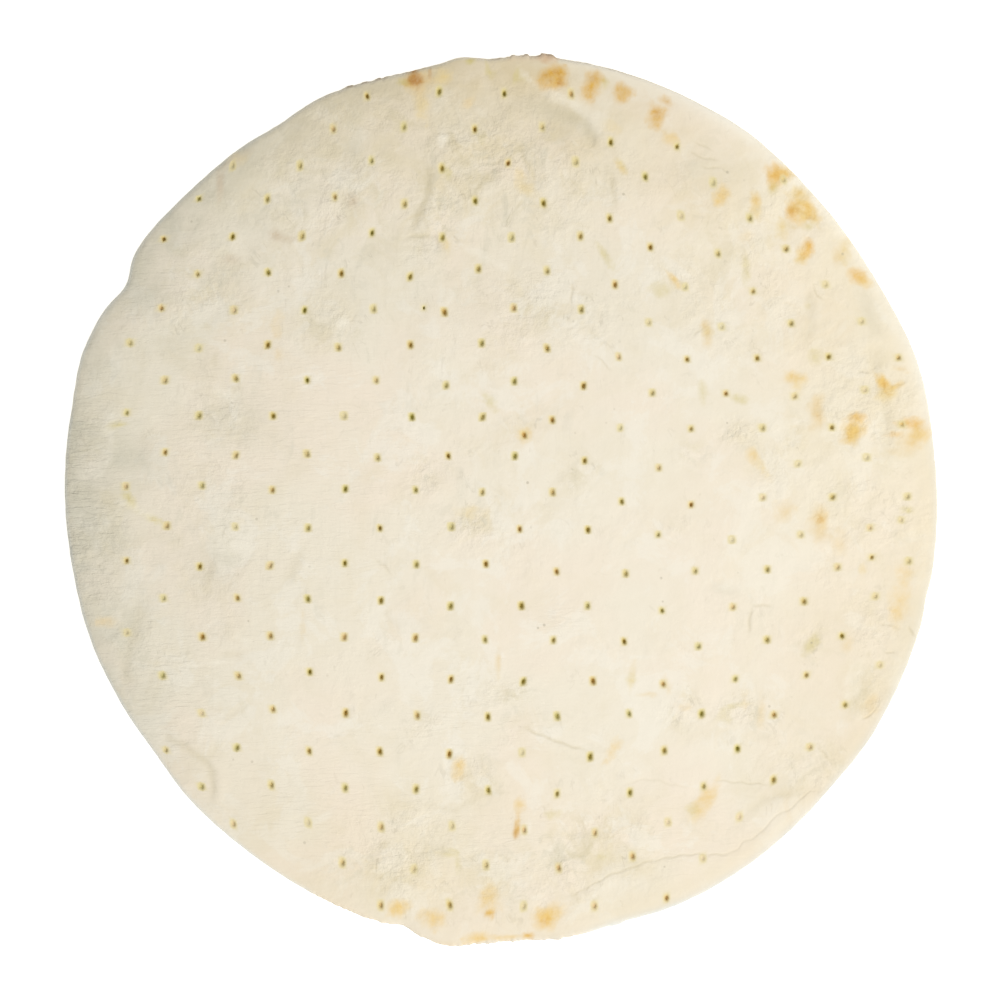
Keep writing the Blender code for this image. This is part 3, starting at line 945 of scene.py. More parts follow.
@dataclass(frozen=True)
class Cloud:
    """A noise pattern on the object's own coordinates.

    Attributes:
        scale: Features to the metre.
        detail: Octaves.
        grit: How strong the finer octaves are.
        warp: How far the pattern is warped.
        low: Up to which noise the pattern stays at its base.
        high: From which noise it is at its top.
        top: Its highest value.
        base: Its lowest value.
        shift: Offset that keeps patterns apart, in metres.
        stretch: Scale along each axis.
        turn: Turn about Z in degrees.
    """

    scale: float
    detail: float
    grit: float = 0.5
    warp: float = 0
    low: float = 0
    high: float = 1
    top: float = 1
    base: float = 0
    shift: float = 0
    stretch: tuple = (1, 1, 1)
    turn: float = 0


class NodeBench:
    """Adds and links the nodes of one material."""

    def __init__(self, name: str) -> None:
        """Starts a material of that name with only its shader and output."""
        self.material = bpy.data.materials.new(name)
        self.material.use_nodes = True
        self.tree = self.material.node_tree
        self.place = self.add("ShaderNodeTexCoord").outputs["Object"]

    def fill(self, node: bpy.types.Node, inputs: dict) -> bpy.types.Node:
        """Links or sets a node's inputs, found by name or number, and gives the node back."""
        for key, value in inputs.items():
            if isinstance(value, Socket):
                self.tree.links.new(value, node.inputs[key])
            else:
                node.inputs[key].default_value = value
        return node

    def add(self, kind: str, inputs: dict | None = None, **settings: object) -> bpy.types.Node:
        """Adds a node.

        Args:
            kind: The node's type name.
            inputs: What its inputs are linked or set to.
            settings: Its properties.

        Returns:
            The new node.
        """
        node = self.tree.nodes.new(kind)
        for name, value in settings.items():
            setattr(node, name, value)
        return self.fill(node, inputs or {})

    def finish(self, **inputs: object) -> bpy.types.Material:
        """Feeds the shader and gives the material back; names have underscores for spaces."""
        shown = {name.replace("_", " "): value for name, value in inputs.items()}
        self.fill(self.tree.nodes["Principled BSDF"], shown)
        return self.material

    def attribute(self, name: str) -> bpy.types.Node:
        """The node that reads a vertex attribute."""
        return self.add("ShaderNodeAttribute", attribute_name=name)

    def share(self, name: str) -> Socket:
        """A vertex attribute as one number."""
        return self.attribute(name).outputs["Fac"]

    def noise(self, cloud: Cloud) -> Socket:
        """The plain noise of a pattern, without its base and top."""
        mapping = self.add("ShaderNodeMapping", {
            "Vector": self.place,
            "Scale": cloud.stretch,
            "Rotation": (0, 0, math.radians(cloud.turn)),
            "Location": (cloud.shift, 0.7 * cloud.shift, 0.3 * cloud.shift),
        })
        pattern = self.add("ShaderNodeTexNoise", {
            "Vector": mapping.outputs["Vector"],
            "Scale": cloud.scale,
            "Detail": cloud.detail,
            "Roughness": cloud.grit,
            "Distortion": cloud.warp,
        })
        return pattern.outputs["Fac"]

    def cloud(self, cloud: Cloud) -> Socket:
        """A pattern, from its base to its top."""
        return self.ramp(self.noise(cloud), cloud.low, cloud.high, cloud.top, cloud.base)

    def ramp(self, value: Socket, low: float, high: float, top: float = 1, base: float = 0) -> Socket:
        """Spreads low..high smoothly over base..top."""
        inputs = {"Value": value, "From Min": low, "From Max": high, "To Min": base, "To Max": top}
        return self.add("ShaderNodeMapRange", inputs, interpolation_type="SMOOTHSTEP").outputs["Result"]

    def math(self, operation: str, *values: object) -> Socket:
        """A sum, a least value or another operation on values."""
        return self.add("ShaderNodeMath", dict(enumerate(values)), operation=operation).outputs[0]

    def times(self, first: object, *others: object) -> object:
        """The product of one or more values."""
        for other in others:
            first = self.math("MULTIPLY", first, other)
        return first

    def mix(self, share: object, first: object, second: object, blend: str = "MIX") -> Socket:
        """Mixes two colours.

        Args:
            share: How much of the second colour.
            first: A socket or a display colour.
            second: A socket or a display colour.
            blend: The blend mode.

        Returns:
            The mixed colour.
        """
        first, second = (linear(shade) if isinstance(shade, tuple) else shade for shade in (first, second))
        inputs = {0: share, 6: first, 7: second}
        return self.add("ShaderNodeMix", inputs, data_type="RGBA", blend_type=blend).outputs[2]

    def coat(self, under: object, colour: object, *shares: object) -> Socket:
        """Lays a colour over another, as strong as the product of its shares."""
        return self.mix(self.times(*shares), under, colour)

    def bump(self, pattern: Socket, height: float, below: Socket | None) -> Socket:
        """Bends the normal by a pattern of a height in mm, on top of a bump below it."""
        inputs = {"Height": pattern, "Distance": height * MM}
        if below is not None:
            inputs["Normal"] = below
        return self.add("ShaderNodeBump", inputs).outputs["Normal"]

    def bumps(self, *layers: tuple[Socket, float]) -> Socket:
        """Layers bumps, each a pattern and its height in mm."""
        normal = None
        for pattern, height in layers:
            normal = self.bump(pattern, height, normal)
        return normal


@dataclass(frozen=True)
class DoughSkin:
    """The dry, floury skin of the crust's top and rim.

    Each Cloud is the pattern of what its name says, in the order in which they are laid.

    Attributes:
        name: The material's name.
        cream: The main colour, as a display colour.
        rosy: A pinker cream, in soft clouds.
        butter: A yellower cream, in the hollows.
        mottle: Duller blotches on rough skin.
        flour: Paler, floury patches and flakes.
        smear: Soft grey smears and flakes.
        speck: Grey specks and hair cracks.
        crease: Painted shade in a crease.
        toast: What the brownest parts of a baked spot are multiplied by.
        lip: Thin baked lip of a torn edge.
        pit_halo: Ring round a pit.
        pit_olive: Core of an olive brown pit: browned dough, and painted shade of the hole.
        pit_amber: Core of an orange brown pit: browned dough, and painted shade of the hole.
        mottled_from: From what roughness the skin is mottled.
        crack_width: From where to where a crack fades off beside its path.
        crack_share: How far a crack takes the specks' colour.
        crease_shade_share: How far the painted shade darkens a crease.
        spot_fray: How far spot_edge frays a baked spot.
        spot_near: At what strength a spot starts and is open for the colour.
        spot_soft: Over what reach it gets its colour.
        spot_deep: Over what reach it is toasted, and how far.
        speck_size: From where to where a speck fades off, as a share of its cell.
        speck_scale: Specks to the metre.
        relief: Heights of the lumps, folds, strokes and grain, in mm.
        roughness: Of the dry skin.
        shine: Its specular level.
    """

    name: str = "dough_skin"
    cream: Colour = (230, 221, 202)
    rosy: Colour = (232, 220, 201)
    butter: Colour = (222, 210, 183)
    mottle: Colour = (204, 193, 160)
    flour: Colour = (234, 228, 214)
    smear: Colour = (207, 201, 182)
    speck: Colour = (168, 160, 140)
    crease: Colour = (196, 184, 152)
    toast: Colour = (234, 208, 158)
    lip: Colour = (146, 122, 94)
    pit_halo: Colour = (222, 208, 160)
    pit_olive: Colour = (186, 176, 96)
    pit_amber: Colour = (200, 169, 98)
    rosy_clouds: Cloud = Cloud(22, 3, 0.5, 0.4, 0.4, 0.62)
    hollows: Cloud = Cloud(58, 6, 0.62, 0.7, 0.42, 0.74, shift=0.31)
    mottles: Cloud = Cloud(78, 5, 0.62, 0.8, 0.46, 0.7, shift=0.66)
    mottled_from: float = 0.6
    floury: Cloud = Cloud(48, 6, 0.66, 0.5, 0.52, 0.6, 0.5, shift=0.73)
    smears: Cloud = Cloud(62, 5, 0.66, 0.5, 0.56, 0.74, shift=0.17, stretch=(2.6, 0.85, 1), turn=4)
    pale_flakes: Cloud = Cloud(110, 6, 0.66, 1, 0.53, 0.62, shift=0.33)
    grey_flakes: Cloud = Cloud(150, 6, 0.66, 1, 0.53, 0.62, shift=0.58)
    crack_paths: Cloud = Cloud(64, 3, 0.6, 1.2, shift=0.93, stretch=(1.5, 0.8, 1))
    crack_breaks: Cloud = Cloud(130, 3, 0.6, 0, 0.56, 0.66, shift=0.27)
    crack_width: Point = (0.03, 0.002)
    crack_share: float = 0.34
    uneven: Cloud = Cloud(70, 6, 0.62, 0.6, 0.3, 0.7, 1.22, 0.72, 0.84)
    crease_shade_share: float = 0.7
    spot_edge: Cloud = Cloud(230, 4, 0.6, 0.3, shift=0.07)
    spot_fray: float = 0.8
    spot_holes: Cloud = Cloud(150, 4, 0.62, 0.2, 0.34, 0.66, 1.02, 0.6, 0.52)
    spot_grain: Cloud = Cloud(300, 3, 0.6, 0.3, 0.44, 0.62, shift=0.63)
    spot_near: Point = (0.02, 0.22)
    spot_soft: Point = (0.34, 1.28)
    spot_deep: tuple = (0.9, 1.4, 0.5)
    lip_edge: Cloud = Cloud(420, 3, 0.6, 0, 0.3, 0.6, shift=0.9)
    speck_groups: Cloud = Cloud(80, 2, 0.5, 0, 0.6, 0.7, 0.5, shift=0.41)
    speck_size: Point = (0.12, 0.06)
    speck_scale: float = 180
    lumps: Cloud = Cloud(120, 5, 0.6, 0.12, shift=0.22)
    clumps: Cloud = Cloud(40, 3, 0.6, 0.5, 0.4, 0.64, 1.45, 0.5, 0.37)
    folds: Cloud = Cloud(300, 4, 0.55, 1.2, shift=0.12, stretch=(0.5, 2.3, 1), turn=2)
    strokes: Cloud = Cloud(150, 3, 0.55, 0.3, shift=0.47, stretch=(2.2, 0.5, 1), turn=6)
    grain: Cloud = Cloud(1300, 2, 0.6)
    relief: tuple = (1.12, 0.5, 0.25, 0.025)
    roughness: float = 0.82
    shine: float = 0.25

    def make(self) -> bpy.types.Material:
        """Builds the material and returns it."""
        bench = NodeBench(self.name)
        return bench.finish(
            Base_Color=self._colour(bench),
            Normal=self._relief(bench),
            Roughness=self.roughness,
            Specular_IOR_Level=self.shine,
        )

    def _colour(self, bench: NodeBench) -> Socket:
        """Layers the colours from the plain dough up to the pits."""
        colour = self._plain(bench)
        # This layer also paints shade on the left side and the rim, and light on the upper-right rim.
        tint_painted_shade_and_light = bench.attribute("tint_painted_shade_and_light")
        weight = bench.times(tint_painted_shade_and_light.outputs["Alpha"], bench.cloud(self.uneven))
        colour = bench.mix(bench.math("MINIMUM", weight, 1), colour, tint_painted_shade_and_light.outputs["Color"])
        # Painted shade in the creases.
        colour = bench.coat(colour, self.crease, bench.share("crease"), self.crease_shade_share)
        colour = self._browned(bench, colour)
        colour = bench.coat(colour, self.lip, bench.share("lip"), bench.cloud(self.lip_edge))
        cells = {"Vector": bench.place, "Scale": self.speck_scale, "Randomness": 1}
        specks = bench.add("ShaderNodeTexVoronoi", cells).outputs["Distance"]
        specks = bench.ramp(specks, *self.speck_size)
        colour = bench.coat(colour, self.speck, specks, bench.cloud(self.speck_groups))
        colour = bench.coat(colour, self.pit_halo, bench.share("pit_halo"))
        # The pit cores: browned dough and painted shade, darker towards the floor.
        core = bench.coat(self.pit_olive, self.pit_amber, bench.share("pit_warmth"))
        return bench.coat(colour, core, bench.share("pit_bake_and_shade"))

    def _plain(self, bench: NodeBench) -> Socket:
        """The unbaked dough: clouds, hollows, blotches, flour, smears, flakes and cracks."""
        rough = bench.share("rough")
        colour = bench.coat(self.cream, self.rosy, bench.cloud(self.rosy_clouds))
        colour = bench.coat(colour, self.butter, bench.cloud(self.hollows), rough)
        rougher = bench.math("MAXIMUM", bench.math("SUBTRACT", rough, self.mottled_from), 0)
        colour = bench.coat(colour, self.mottle, bench.cloud(self.mottles), rougher)
        colour = bench.coat(colour, self.flour, bench.cloud(self.floury))
        colour = bench.coat(colour, self.smear, bench.cloud(self.smears), bench.share("smeared"))
        colour = bench.coat(colour, self.flour, self._flakes(bench, self.pale_flakes))
        colour = bench.coat(colour, self.smear, self._flakes(bench, self.grey_flakes))
        return bench.coat(colour, self.speck, self._cracks(bench), self.crack_share)

    def _browned(self, bench: NodeBench, colour: Socket) -> Socket:
        """Lays the baked spots over the dough, frayed, broken up and toasted at their cores."""
        spot = bench.attribute("baked")
        strength = spot.outputs["Alpha"]
        reach = bench.math("ADD", strength, bench.times(bench.noise(self.spot_edge), self.spot_fray))
        inner = bench.times(bench.cloud(self.spot_holes), bench.ramp(strength, *self.spot_near))
        colour = bench.coat(colour, spot.outputs["Color"], bench.ramp(reach, *self.spot_soft), inner)
        deep = bench.times(bench.ramp(reach, *self.spot_deep), bench.cloud(self.spot_grain))
        return bench.mix(deep, colour, self.toast, "MULTIPLY")

    def _relief(self, bench: NodeBench) -> Socket:
        """Layers the fine relief: lumps, wrinkles, strokes and grain."""
        lumps = bench.math("SUBTRACT", bench.noise(self.lumps), 0.5)
        lumps = bench.times(lumps, bench.share("rough"), bench.cloud(self.clumps))
        folds = bench.times(bench.noise(self.folds), bench.share("wrinkled"))
        strokes = bench.times(bench.noise(self.strokes), bench.share("smeared"))
        return bench.bumps(*zip((lumps, folds, strokes, bench.noise(self.grain)), self.relief))

    @staticmethod
    def _where_rough(bench: NodeBench, *shares: Socket) -> Socket:
        """The product of shares, more of it where the skin is rough, and never over 1."""
        return bench.math("MINIMUM", bench.times(*shares, bench.share("rough")), 1)

    def _cracks(self, bench: NodeBench) -> Socket:
        """Short hair cracks, along the paths where their noise is at its middle value."""
        off = bench.math("ABSOLUTE", bench.math("SUBTRACT", bench.noise(self.crack_paths), 0.5))
        return self._where_rough(bench, bench.ramp(off, *self.crack_width), bench.cloud(self.crack_breaks))

    def _flakes(self, bench: NodeBench, flakes: Cloud) -> Socket:
        """Small ragged flakes of dry skin, in loose clusters."""
        clusters = Cloud(0.3 * flakes.scale, 2, 0.5, 0, 0.44, 0.62, 0.4, shift=flakes.shift + 0.05)
        return self._where_rough(bench, bench.cloud(flakes), bench.cloud(clusters))


@dataclass(frozen=True)
class DeckSkin:
    """The crust's underside, which lay on the oven's deck: flat, floury and spotted brown."""

    name: str = "deck_skin"
    cream: Colour = (233, 222, 198)
    toast: Colour = (206, 168, 116)
    flour: Colour = (241, 236, 224)
    clouds: Cloud = Cloud(34, 4, 0.55, 0.5, 0.42, 0.66, 0.45)
    spots: Cloud = Cloud(120, 4, 0.6, 0.3, 0.6, 0.72, 0.8, shift=0.4)
    dust: Cloud = Cloud(260, 5, 0.7, 0.8, 0.5, 0.64, 0.7, shift=0.8)
    lumps: Cloud = Cloud(160, 4, 0.6, 0.5)
    grain: Cloud = Cloud(900, 3, 0.6)
    relief: Point = (0.3, 0.06)
    roughness: float = 0.88
    shine: float = 0.2

    def make(self) -> bpy.types.Material:
        """Builds the material and returns it."""
        bench = NodeBench(self.name)
        colour = bench.coat(self.cream, self.toast, bench.cloud(self.clouds))
        colour = bench.coat(colour, self.toast, bench.cloud(self.spots))
        return bench.finish(
            Base_Color=bench.coat(colour, self.flour, bench.cloud(self.dust)),
            Normal=bench.bumps(*zip((bench.noise(self.lumps), bench.noise(self.grain)), self.relief)),
            Roughness=self.roughness,
            Specular_IOR_Level=self.shine,
        )


# ---------------------------------------------------------------------------------------
# The crust
# ---------------------------------------------------------------------------------------


@contextmanager
def editing(kind: str) -> Iterator[None]:
    """Edit mode, with faces or edges to select, for as long as the block runs."""
    bpy.ops.object.mode_set(mode="EDIT")
    bpy.ops.mesh.select_mode(type=kind)
    yield
    bpy.ops.object.mode_set(mode="OBJECT")


def select_only(piece: bpy.types.Object, kind: str, chosen: set[int]) -> None:
    """Selects only some faces or edges of a piece that is in edit mode.

    Args:
        piece: The piece being edited.
        kind: "faces" or "edges".
        chosen: Their indices.
    """
    bm = bmesh.from_edit_mesh(piece.data)
    for element in (*bm.verts, *bm.edges, *bm.faces):
        element.select = False
    for element in getattr(bm, kind):
        if element.index in chosen:
            element.select_set(True)
    bmesh.update_edit_mesh(piece.data)


def start_piece(name: str) -> bpy.types.Object:
    """Names the primitive that was just added and gives it back."""
    piece = bpy.context.object
    piece.name = name
    piece.data.name = name
    return piece


def add_grid(name: str, cells: int) -> bpy.types.Object:
    """Adds a grid from -1 to 1 with that many cells along each side."""
    bpy.ops.object.select_all(action="DESELECT")
    bpy.ops.mesh.primitive_grid_add(x_subdivisions=cells, y_subdivisions=cells, size=2.0)
    return start_piece(name)


def places(mesh: bpy.types.Mesh) -> Array:
    """A mesh's vertices, one row each, in mm."""
    flat = np.empty(len(mesh.vertices) * 3, np.float32)
    mesh.vertices.foreach_get("co", flat)
    return flat.reshape(-1, 3).astype(float) / MM


def set_places(mesh: bpy.types.Mesh, rows: Array) -> None:
    """Moves a mesh's vertices to the given places in mm."""
    mesh.vertices.foreach_set("co", (rows * MM).astype(np.float32).ravel())
    mesh.update()


def read(mesh: bpy.types.Mesh, name: str, kind: type = np.float32) -> Array:
    """The numbers of a mesh's attribute."""
    data = mesh.attributes[name].data
    values = np.zeros(len(data), kind)
    data.foreach_get("value", values)
    return values


def store(mesh: bpy.types.Mesh, name: str, values: Array) -> None:
    """Writes one number, or one colour and weight, for each vertex."""
    kind, part = ("FLOAT", "value") if values.ndim == 1 else ("FLOAT_COLOR", "color")
    attribute = mesh.attributes.new(name, kind, "POINT")
    attribute.data.foreach_set(part, values.astype(np.float32).ravel())


@dataclass(frozen=True)
class PitRing:
    """One ring of a pit, from the skin round it down to its floor.

    Attributes:
        blend: How far the ring has turned from the block's square edge to the mouth's oval.
        scale: Its size as a share of the mouth's.
        drop: Its depth as a share of the pit's.
        bake: How much of the core's colour it takes: browning, and painted shade that grows with the depth.
        halo: How much of the halo's colour it takes.
        wall: Whether it is extruded down, and not inset.
    """

    blend: float
    scale: float
    drop: float
    bake: float
    halo: float
    wall: bool = False


@dataclass
class CrustSheet:
    """The crust: a grid of dough, rounded off, pricked, creased and rolled over at the rim.

    Attributes:
        outline: The crust's outline.
        rim: How its top falls to the edge.
        docking: The docking pattern.
        rings: The rings of each pit.
        cells: Cells along each side of the grid.
        deck_cells: Cells along each side of the underside's grid.
        thickness: Height of the level top, in mm.
        top_inset: How far inside the outline the grid ends, in mm.
        deck_inset: How far inside the outline the underside's grid ends, in mm.
        edge_hold: Over what width the grid's edge holds back its shift to the pits, in mm.
        pit_pull: Up to where the grid shifts fully with a pit, and where it stops, in mm.
        pit_room: Least distance from a pit's middle to its block's corners, in mm.
        pit_wobble: How uneven a pit's oval is.
        pit_nest: The most that a ring's edge and the rest of it take of the ring round it.
        inset_step: What a ring is inset by before it is placed, in metres.
        wall_step: What a pit's or the rim's wall is moved by before it is placed, in metres.
        fine_crease: Creases narrower than this get a finer grid, in mm.
        fine_bands: How far beside them it is subdivided once and twice, in mm.
        least_rough: Least height and least colour of the rough skin's texture.
        bumps: The skin's unevenness, as (spacing along x and y, shift, height) in mm.
        rough_fade: Over what inset the unevenness rises from none to all of it, in mm.
        lip_reach: Over what inset a torn edge's brown lip fades, in mm.
        lip_height: The lip's middle and its spread, in mm.
        wall_fade: At what shares of its height the rim's wall takes its own colour.
        wall_bake: How far the rim's wall takes a straw colour, from 0 to 1.
        wall_clear: How far the wall is kept clear of edge bands and of baked spots.
        deck_height: Faces below this height are the underside's, in mm.
        seed: Shift of the relief's noise.
    """

    outline: Outline = field(default_factory=Outline)
    rim: Rim = field(default_factory=Rim)
    docking: DockingPattern = field(default_factory=DockingPattern)
    rings: tuple = made(
        PitRing,
        (0.4, 1.3, 0, 0, 0.12), (0.85, 1.55, 0.01, 0.04, 0.45), (1, 1.18, 0.06, 0.26, 0.75),
        (1, 0.88, 0.2, 0.55, 0.7, True), (1, 0.6, 0.5, 0.85, 0, True), (1, 0.38, 0.93, 1, 0, True),
    )
    cells: int = 220
    deck_cells: int = 88
    thickness: float = 4.8
    top_inset: float = 1.7
    deck_inset: float = 5
    edge_hold: float = 2.2
    pit_pull: Point = (2.7, 6.5)
    pit_room: float = 2.1
    pit_wobble: float = 0.16
    pit_nest: Point = (0.93, 0.45)
    inset_step: float = 0.00004
    wall_step: float = 0.0003
    fine_crease: float = 0.75
    fine_bands: Point = (1.5, 0.75)
    least_rough: Point = (0.55, 0.34)
    bumps: tuple = ((17, 17, 0, 0.16), (7, 8, 5, 0.14), (3.2, 3.8, 9, 0.07))
    rough_fade: Point = (0.5, 6)
    lip_reach: Point = (0.1, 0.8)
    lip_height: Point = (2.7, 1.1)
    wall_fade: Point = (0.3, 0.8)
    wall_bake: float = 0.5
    wall_clear: Point = (0.8, 0.9)
    deck_height: float = 0.15
    seed: float = 3.7

    def build(self) -> bpy.types.Object:
        """Models the whole crust.

        Returns:
            The finished mesh object, without its material.
        """
        pits = self.docking.pits(self.outline)
        piece = add_grid("crust_sheet", self.cells)
        blocks = self._pit_blocks(piece.data, pits)
        self._round_off(piece.data, self.top_inset)
        self._centre_blocks(piece.data, pits, blocks)
        self._prick(piece, pits, blocks)
        self._refine(piece)
        self._roll_rim(piece)
        self._close_underside(piece)
        self._raise_relief(piece.data)
        self._record_looks(piece.data)
        piece.data.calc_loop_triangles()
        log.info("crust sheet: %d pits, %d triangles", len(pits), len(piece.data.loop_triangles))
        return piece

    def _rounded(self, square: Array, inset: float) -> Array:
        """Where points of a 2 by 2 square go on the round.

        Args:
            square: Points as (x, y) from -1 to 1.
            inset: How far inside the outline the square's edge goes, in mm.

        Returns:
            Points as (x, y) in mm. The middle stays a plain grid, and the edge follows
            the outline.
        """
        x, y = square.T
        reach = np.maximum(np.abs(x), np.abs(y))
        with np.errstate(divide="ignore", invalid="ignore"):
            angle = np.where(
                np.abs(x) >= np.abs(y),
                math.pi / 4 * y / x + np.where(x < 0, math.pi, 0.0),
                math.pi / 2 - math.pi / 4 * x / y + np.where(y < 0, math.pi, 0.0),
            )
        angle = np.nan_to_num(angle)
        edge = self.outline.radius(np.degrees(angle) % 360.0) - inset
        mean = self.outline.mean_radius - inset
        radius = reach * (mean + (edge - mean) * reach**4)
        ring = radius[:, None] * np.stack([np.cos(angle), np.sin(angle)], axis=1)
        plain = math.sqrt(math.pi) / 2 * mean * square
        share = (reach**2)[:, None]
        return plain * (1.0 - share) + ring * share + self.outline.pole

    def _round_off(self, mesh: bpy.types.Mesh, inset: float) -> None:
        """Moves a 2 by 2 grid's vertices so that its edge follows the outline."""
        rows = places(mesh)
        rows[:, :2] = self._rounded(rows[:, :2] * MM, inset)
        set_places(mesh, rows)

    def _pit_blocks(self, mesh: bpy.types.Mesh, pits: list[Pit]) -> list[list[int]]:
        """Finds the 3 by 3 block of grid faces that each pit takes up.

        Args:
            mesh: The flat grid, before it is rounded off.
            pits: The pits.

        Returns:
            The face indices of each pit's block, with the middle one first.
        """
        centres = np.array([face.center[:2] for face in mesh.polygons])
        cell = np.round((centres + 1.0) / 2.0 * self.cells - 0.5).astype(int)
        index = {tuple(key): k for k, key in enumerate(cell)}
        rounded = self._rounded(centres, self.top_inset)
        steps = [(0, 0)] + [(i, j) for i in (-1, 0, 1) for j in (-1, 0, 1) if i or j]
        blocks = []
        for pit in pits:
            off = np.hypot(rounded[:, 0] - pit.x, rounded[:, 1] - pit.y)
            column, row = np.clip(cell[int(np.argmin(off))], 1, self.cells - 2)
            blocks.append([index[column + i, row + j] for i, j in steps])
        return blocks

    def _centre_blocks(self, mesh: bpy.types.Mesh, pits: list[Pit], blocks: list[list[int]]) -> None:
        """Shifts the grid slightly round each pit, so that its block lies centred on it.

        Then the grid is pushed outwards round the pit, until the block has room for the mouth.

        Args:
            mesh: The rounded grid.
            pits: The pits.
            blocks: Each pit's block of faces.
        """
        rows = places(mesh)
        core, stop = self.pit_pull
        inside = self.outline.inside(rows[:, 0], rows[:, 1])
        held = smooth_step(inside, self.top_inset, self.top_inset + self.edge_hold)
        shift = np.zeros((len(rows), 2))
        for pit, block in zip(pits, blocks):
            middle = rows[list(mesh.polygons[block[0]].vertices), :2].mean(axis=0)
            off = np.hypot(rows[:, 0] - middle[0], rows[:, 1] - middle[1])
            near = np.nonzero(off < stop)[0]
            weight = 1.0 - smooth_step(off[near], core, stop)
            shift[near] += weight[:, None] * (np.array((pit.x, pit.y)) - middle)
        rows[:, :2] += shift * held[:, None]
        for pit, block in zip(pits, blocks):
            off = rows[:, :2] - (pit.x, pit.y)
            reach = np.hypot(off[:, 0], off[:, 1])
            corners = {vert for face in block for vert in mesh.polygons[face].vertices}
            corners -= set(mesh.polygons[block[0]].vertices)
            room = min(reach[list(corners)])
            near = np.nonzero((reach < stop) & (reach > 0.0))[0]
            push = max(0.0, self.pit_room - room) * (1.0 - smooth_step(reach[near], room, stop))
            rows[near, :2] += off[near] / reach[near, None] * (push * held[near])[:, None]
        set_places(mesh, rows)

    def _prick(self, piece: bpy.types.Object, pits: list[Pit], blocks: list[list[int]]) -> None:
        """Turns each block of faces into a pit with a rounded mouth, walls and a floor.

        The pits' drop and bake, with the painted shade of their cores, are kept in vertex layers, because
        later steps add vertices.

        Args:
            piece: The rounded grid.
            pits: The pits.
            blocks: Each pit's block of faces.
        """
        with editing("FACE"):
            bm = bmesh.from_edit_mesh(piece.data)
            for name in ("skin", "edge_height", "pit_drop", "pit_bake_and_shade", "pit_halo", "pit_warmth"):
                bm.verts.layers.float.new(name)
            skin = bm.verts.layers.float["skin"]
            for vert in bm.verts:
                vert[skin] = 1.0
            bm.faces.layers.int.new("pit_number")
            bm.faces.ensure_lookup_table()
            number = bm.faces.layers.int["pit_number"]
            for k, block in enumerate(blocks):
                for face in block:
                    bm.faces[face][number] = k + 1
            bmesh.update_edit_mesh(piece.data)
            select_only(piece, "faces", {face for block in blocks for face in block})
            down = {"value": (0.0, 0.0, -self.wall_step)}
            for ring in self.rings:
                if ring.wall:
                    bpy.ops.mesh.extrude_region_move(TRANSFORM_OT_translate=down)
                else:
                    bpy.ops.mesh.inset(thickness=self.inset_step, depth=0.0, use_individual=False)
                self._place_ring(piece, pits, ring)

    def _place_ring(self, piece: bpy.types.Object, pits: list[Pit], ring: PitRing) -> None:
        """Moves the edge of each selected region onto its pit's oval, and the rest inside it."""
        bm = bmesh.from_edit_mesh(piece.data)
        number = bm.faces.layers.int["pit_number"]
        names = ("pit_drop", "pit_bake_and_shade", "pit_halo", "pit_warmth")
        layers = [bm.verts.layers.float[name] for name in names]
        regions: dict[int, set] = {}
        for face in bm.faces:
            if face.select and face[number]:
                regions.setdefault(face[number], set()).update(face.verts)
        for key, verts in regions.items():
            pit = pits[key - 1]
            middle = Vector((pit.x * MM, pit.y * MM, 0.0))
            lean = Matrix.Rotation(pit.tilt, 3, "Z")
            for vert in verts:
                edge = any(not face.select for face in vert.link_faces)
                off = lean.transposed() @ (vert.co - middle)
                angle = math.atan2(off.y / pit.half_length, off.x / pit.half_width)
                round_it = Vector((math.cos(angle), math.sin(angle), key * 3.1))
                wobble = 1.0 + self.pit_wobble * noise.noise(round_it)
                oval = Vector((pit.half_width * math.cos(angle), pit.half_length * math.sin(angle), 0.0))
                oval = lean @ oval * (ring.scale * wobble * MM)
                off = lean @ off
                off.z = 0.0
                place = off.lerp(oval, ring.blend)
                if edge:
                    place *= min(1.0, self.pit_nest[0] * off.length / max(place.length, 1e-9))
                vert.co = middle + (place if edge else self.pit_nest[1] * place)
                looks = (
                    ring.drop * pit.depth * (1.0 if edge else 1.05),
                    ring.bake * (0.35 + 0.65 * pit.strength),
                    ring.halo * (0.9 + 0.1 * pit.strength),
                    pit.warmth,
                )
                for layer, value in zip(layers, looks):
                    vert[layer] = value
        bmesh.update_edit_mesh(piece.data)

    def _refine(self, piece: bpy.types.Object) -> None:
        """Subdivides the grid twice along the fine creases and along the torn edge."""
        mesh = piece.data
        for band in self.fine_bands:
            x, y = np.array([face.center[:2] for face in mesh.polygons]).T / MM
            near = np.zeros(len(x), bool)
            for crease in CREASES:
                if crease.width < self.fine_crease:
                    near |= crease.measure(x, y)[0] < band + crease.width
            torn = self.outline.torn(self.outline.bearing(x, y))
            near |= torn & (self.outline.inside(x, y) < self.top_inset + 1.6 * band)
            sizes = np.array([len(face.vertices) for face in mesh.polygons])
            plain = (read(mesh, "pit_number", np.int32) == 0) & (sizes == 4)
            with editing("FACE"):
                select_only(piece, "faces", set(np.nonzero(near & plain)[0].tolist()))
                bpy.ops.mesh.subdivide(number_cuts=1, smoothness=0.0, ngon=False, quadcorner="INNERVERT")

    @staticmethod
    def _select_open_edges(piece: bpy.types.Object) -> None:
        """Selects only the edges that have a face on one side only."""
        bm = bmesh.from_edit_mesh(piece.data)
        bm.edges.index_update()
        select_only(piece, "edges", {edge.index for edge in bm.edges if len(edge.link_faces) == 1})

